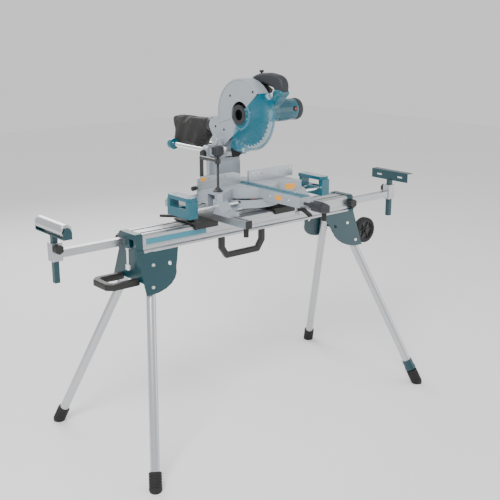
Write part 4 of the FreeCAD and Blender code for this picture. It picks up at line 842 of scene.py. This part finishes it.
# ---------------------------------------------------------------- dust bag
# A sewn bag of dark nylon cloth on a wire, pushed over the nozzle behind the head. It is blown out
# softly, and taped seams run round its two sides.
bag_cloth = Finish("dark_nylon_cloth", Sheen_Weight=0.08)
weft = bag_cloth.node("ShaderNodeTexWave", {"bands_direction": "Z"}, {"Vector": bag_cloth.place,
                                                                    "Scale": 260})
warp = bag_cloth.node("ShaderNodeTexWave", {"bands_direction": "Y"}, {"Vector": bag_cloth.place,
                                                                    "Scale": 260})
folds = bag_cloth.noise(12, 4)
bag_colour = bag_cloth.blend(folds, (0.009, 0.0085, 0.008, 1), (0.02, 0.018, 0.0175, 1))
bag_cloth.feed("Base Color", bag_colour)
bag_cloth.feed("Roughness", 0.78 + 0.1 * (folds - 0.5))
bag_cloth.bump(weft * 0.5 + warp * 0.5, 0.25)
bag_cloth = bag_cloth.material
low, high = (Vector(corner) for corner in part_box("dust_bag"))
side_shape = [(0, 88), (0, 142), (26, 138), (120, 134), (242, 128), (250, 118), (249, 10), (242, 2),
              (72, 4), (56, 14)]
bag = bmesh.new()
walls = []
for x in (low.x + 2 * MM, high.x - 2 * MM):
    walls.append([bag.verts.new((x, low.y + y * MM, low.z + z * MM)) for y, z in side_shape])
for wall in walls:
    bag.faces.new(wall)
for index in range(len(side_shape)):
    after = (index + 1) % len(side_shape)
    bag.faces.new([walls[0][index], walls[0][after], walls[1][after], walls[1][index]])
bmesh.ops.recalc_face_normals(bag, faces=bag.faces)
bag_piece = bpy.data.objects.new("dust_bag_cloth", finished_mesh("dust_bag_cloth", bag, bag_cloth))
bpy.context.scene.collection.objects.link(bag_piece)
bpy.context.view_layer.objects.active = bag_piece
remesh = bag_piece.modifiers.new("weave", "REMESH")
remesh.mode, remesh.voxel_size = "VOXEL", 0.005
graph = bpy.context.evaluated_depsgraph_get()
even_mesh = bpy.data.meshes.new_from_object(bag_piece.evaluated_get(graph))
bag_piece.modifiers.clear()
bag_piece.data = even_mesh
rest = [vertex.co.copy() for vertex in even_mesh.vertices]
held = bag_piece.vertex_groups.new(name="held")
for vertex in even_mesh.vertices:
    if vertex.co.y < low.y + 14 * MM or vertex.co.z > high.z - 10 * MM:
        held.add([vertex.index], 1.0, "REPLACE")
cloth = bag_piece.modifiers.new("blown", "CLOTH")
cloth.settings.use_pressure = True
cloth.settings.uniform_pressure_force = 4
cloth.settings.effector_weights.gravity = 0
cloth.settings.vertex_group_mass = "held"
cloth.settings.quality = 6
cloth.settings.tension_stiffness = cloth.settings.compression_stiffness = 8
cloth.point_cache.frame_start, cloth.point_cache.frame_end = 1, 20
for number in range(1, 21):
    bpy.context.scene.frame_set(number)
graph = bpy.context.evaluated_depsgraph_get()
blown = bpy.data.meshes.new_from_object(bag_piece.evaluated_get(graph))
bag_piece.modifiers.clear()
farthest = 9 * MM
for vertex, start in zip(blown.vertices, rest):
    move = vertex.co - start
    if move.length > farthest:
        vertex.co = start + move.normalized() * farthest
    crease = math.sin(90 * (vertex.co.y - low.y) + 46 * (vertex.co.z - low.z))
    loose = min(1.0, max(0.0, (high.z - 12 * MM - vertex.co.z) / 0.05))
    vertex.co.x += 1.3 * MM * crease * loose * (1 if start.x > (low.x + high.x) / 2 else -1)
bag_piece.data = blown
bpy.context.scene.frame_set(1)
blown.materials.clear()
blown.materials.append(bag_cloth)
for polygon in blown.polygons:
    polygon.use_smooth = True
smooth = bag_piece.modifiers.new("smooth", "SUBSURF")
smooth.levels = smooth.render_levels = 1
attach(bag_piece, "head")
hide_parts("dust_bag")


# ---------------------------------------------------------------- floor, light and camera
# The object stands on a plain pale floor under soft studio light, seen from its front left.
floor_finish = Finish("pale_floor", Roughness=0.7)
floor_finish.shader.inputs["Base Color"].default_value = (0.93, 0.93, 0.93, 1)
floor = bpy.data.meshes.new("floor")
floor.from_pydata([(-9, -9, 0), (9, -9, 0), (9, 9, 0), (-9, 9, 0)], [], [(0, 1, 2, 3)])
floor.materials.append(floor_finish.material)
floor_piece = bpy.data.objects.new("floor", floor)
bpy.context.scene.collection.objects.link(floor_piece)
floor_piece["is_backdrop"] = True
world = bpy.data.worlds.new("studio")
bpy.context.scene.world = world
world.use_nodes = True
world.node_tree.nodes["Background"].inputs["Color"].default_value = (1, 1, 1, 1)
world.node_tree.nodes["Background"].inputs["Strength"].default_value = 0.9
middle = Vector((0.02, 0, (cad_low[2] + cad_high[2]) / 2 - 0.03))
lamps = [("key", (-2.4, -1.6, 3.4), 1.4, 120),
         ("fill", (2.8, -2.4, 1.4), 2.4, 26),
         ("back", (0.5, 3.0, 2.6), 2.2, 60)]
for name, place, size, power in lamps:
    lamp = bpy.data.lights.new(name, "AREA")
    lamp.energy, lamp.size = power, size
    light = bpy.data.objects.new(name, lamp)
    bpy.context.scene.collection.objects.link(light)
    light.location = place
    light.rotation_euler = (middle - Vector(place)).to_track_quat("-Z", "Y").to_euler()
camera = bpy.data.cameras.new("camera")
camera.lens, camera.sensor_width = 60.9, 36.0
camera_piece = bpy.data.objects.new("camera", camera)
bpy.context.scene.collection.objects.link(camera_piece)
azimuth, elevation, distance = math.radians(-40), math.radians(15.5), 3.55
camera_piece.location = middle + distance * Vector((math.sin(azimuth) * math.cos(elevation),
                                                    -math.cos(azimuth) * math.cos(elevation),
                                                    math.sin(elevation)))
camera_piece.rotation_euler = (middle - camera_piece.location).to_track_quat("-Z", "Y").to_euler()
bpy.context.scene.camera = camera_piece
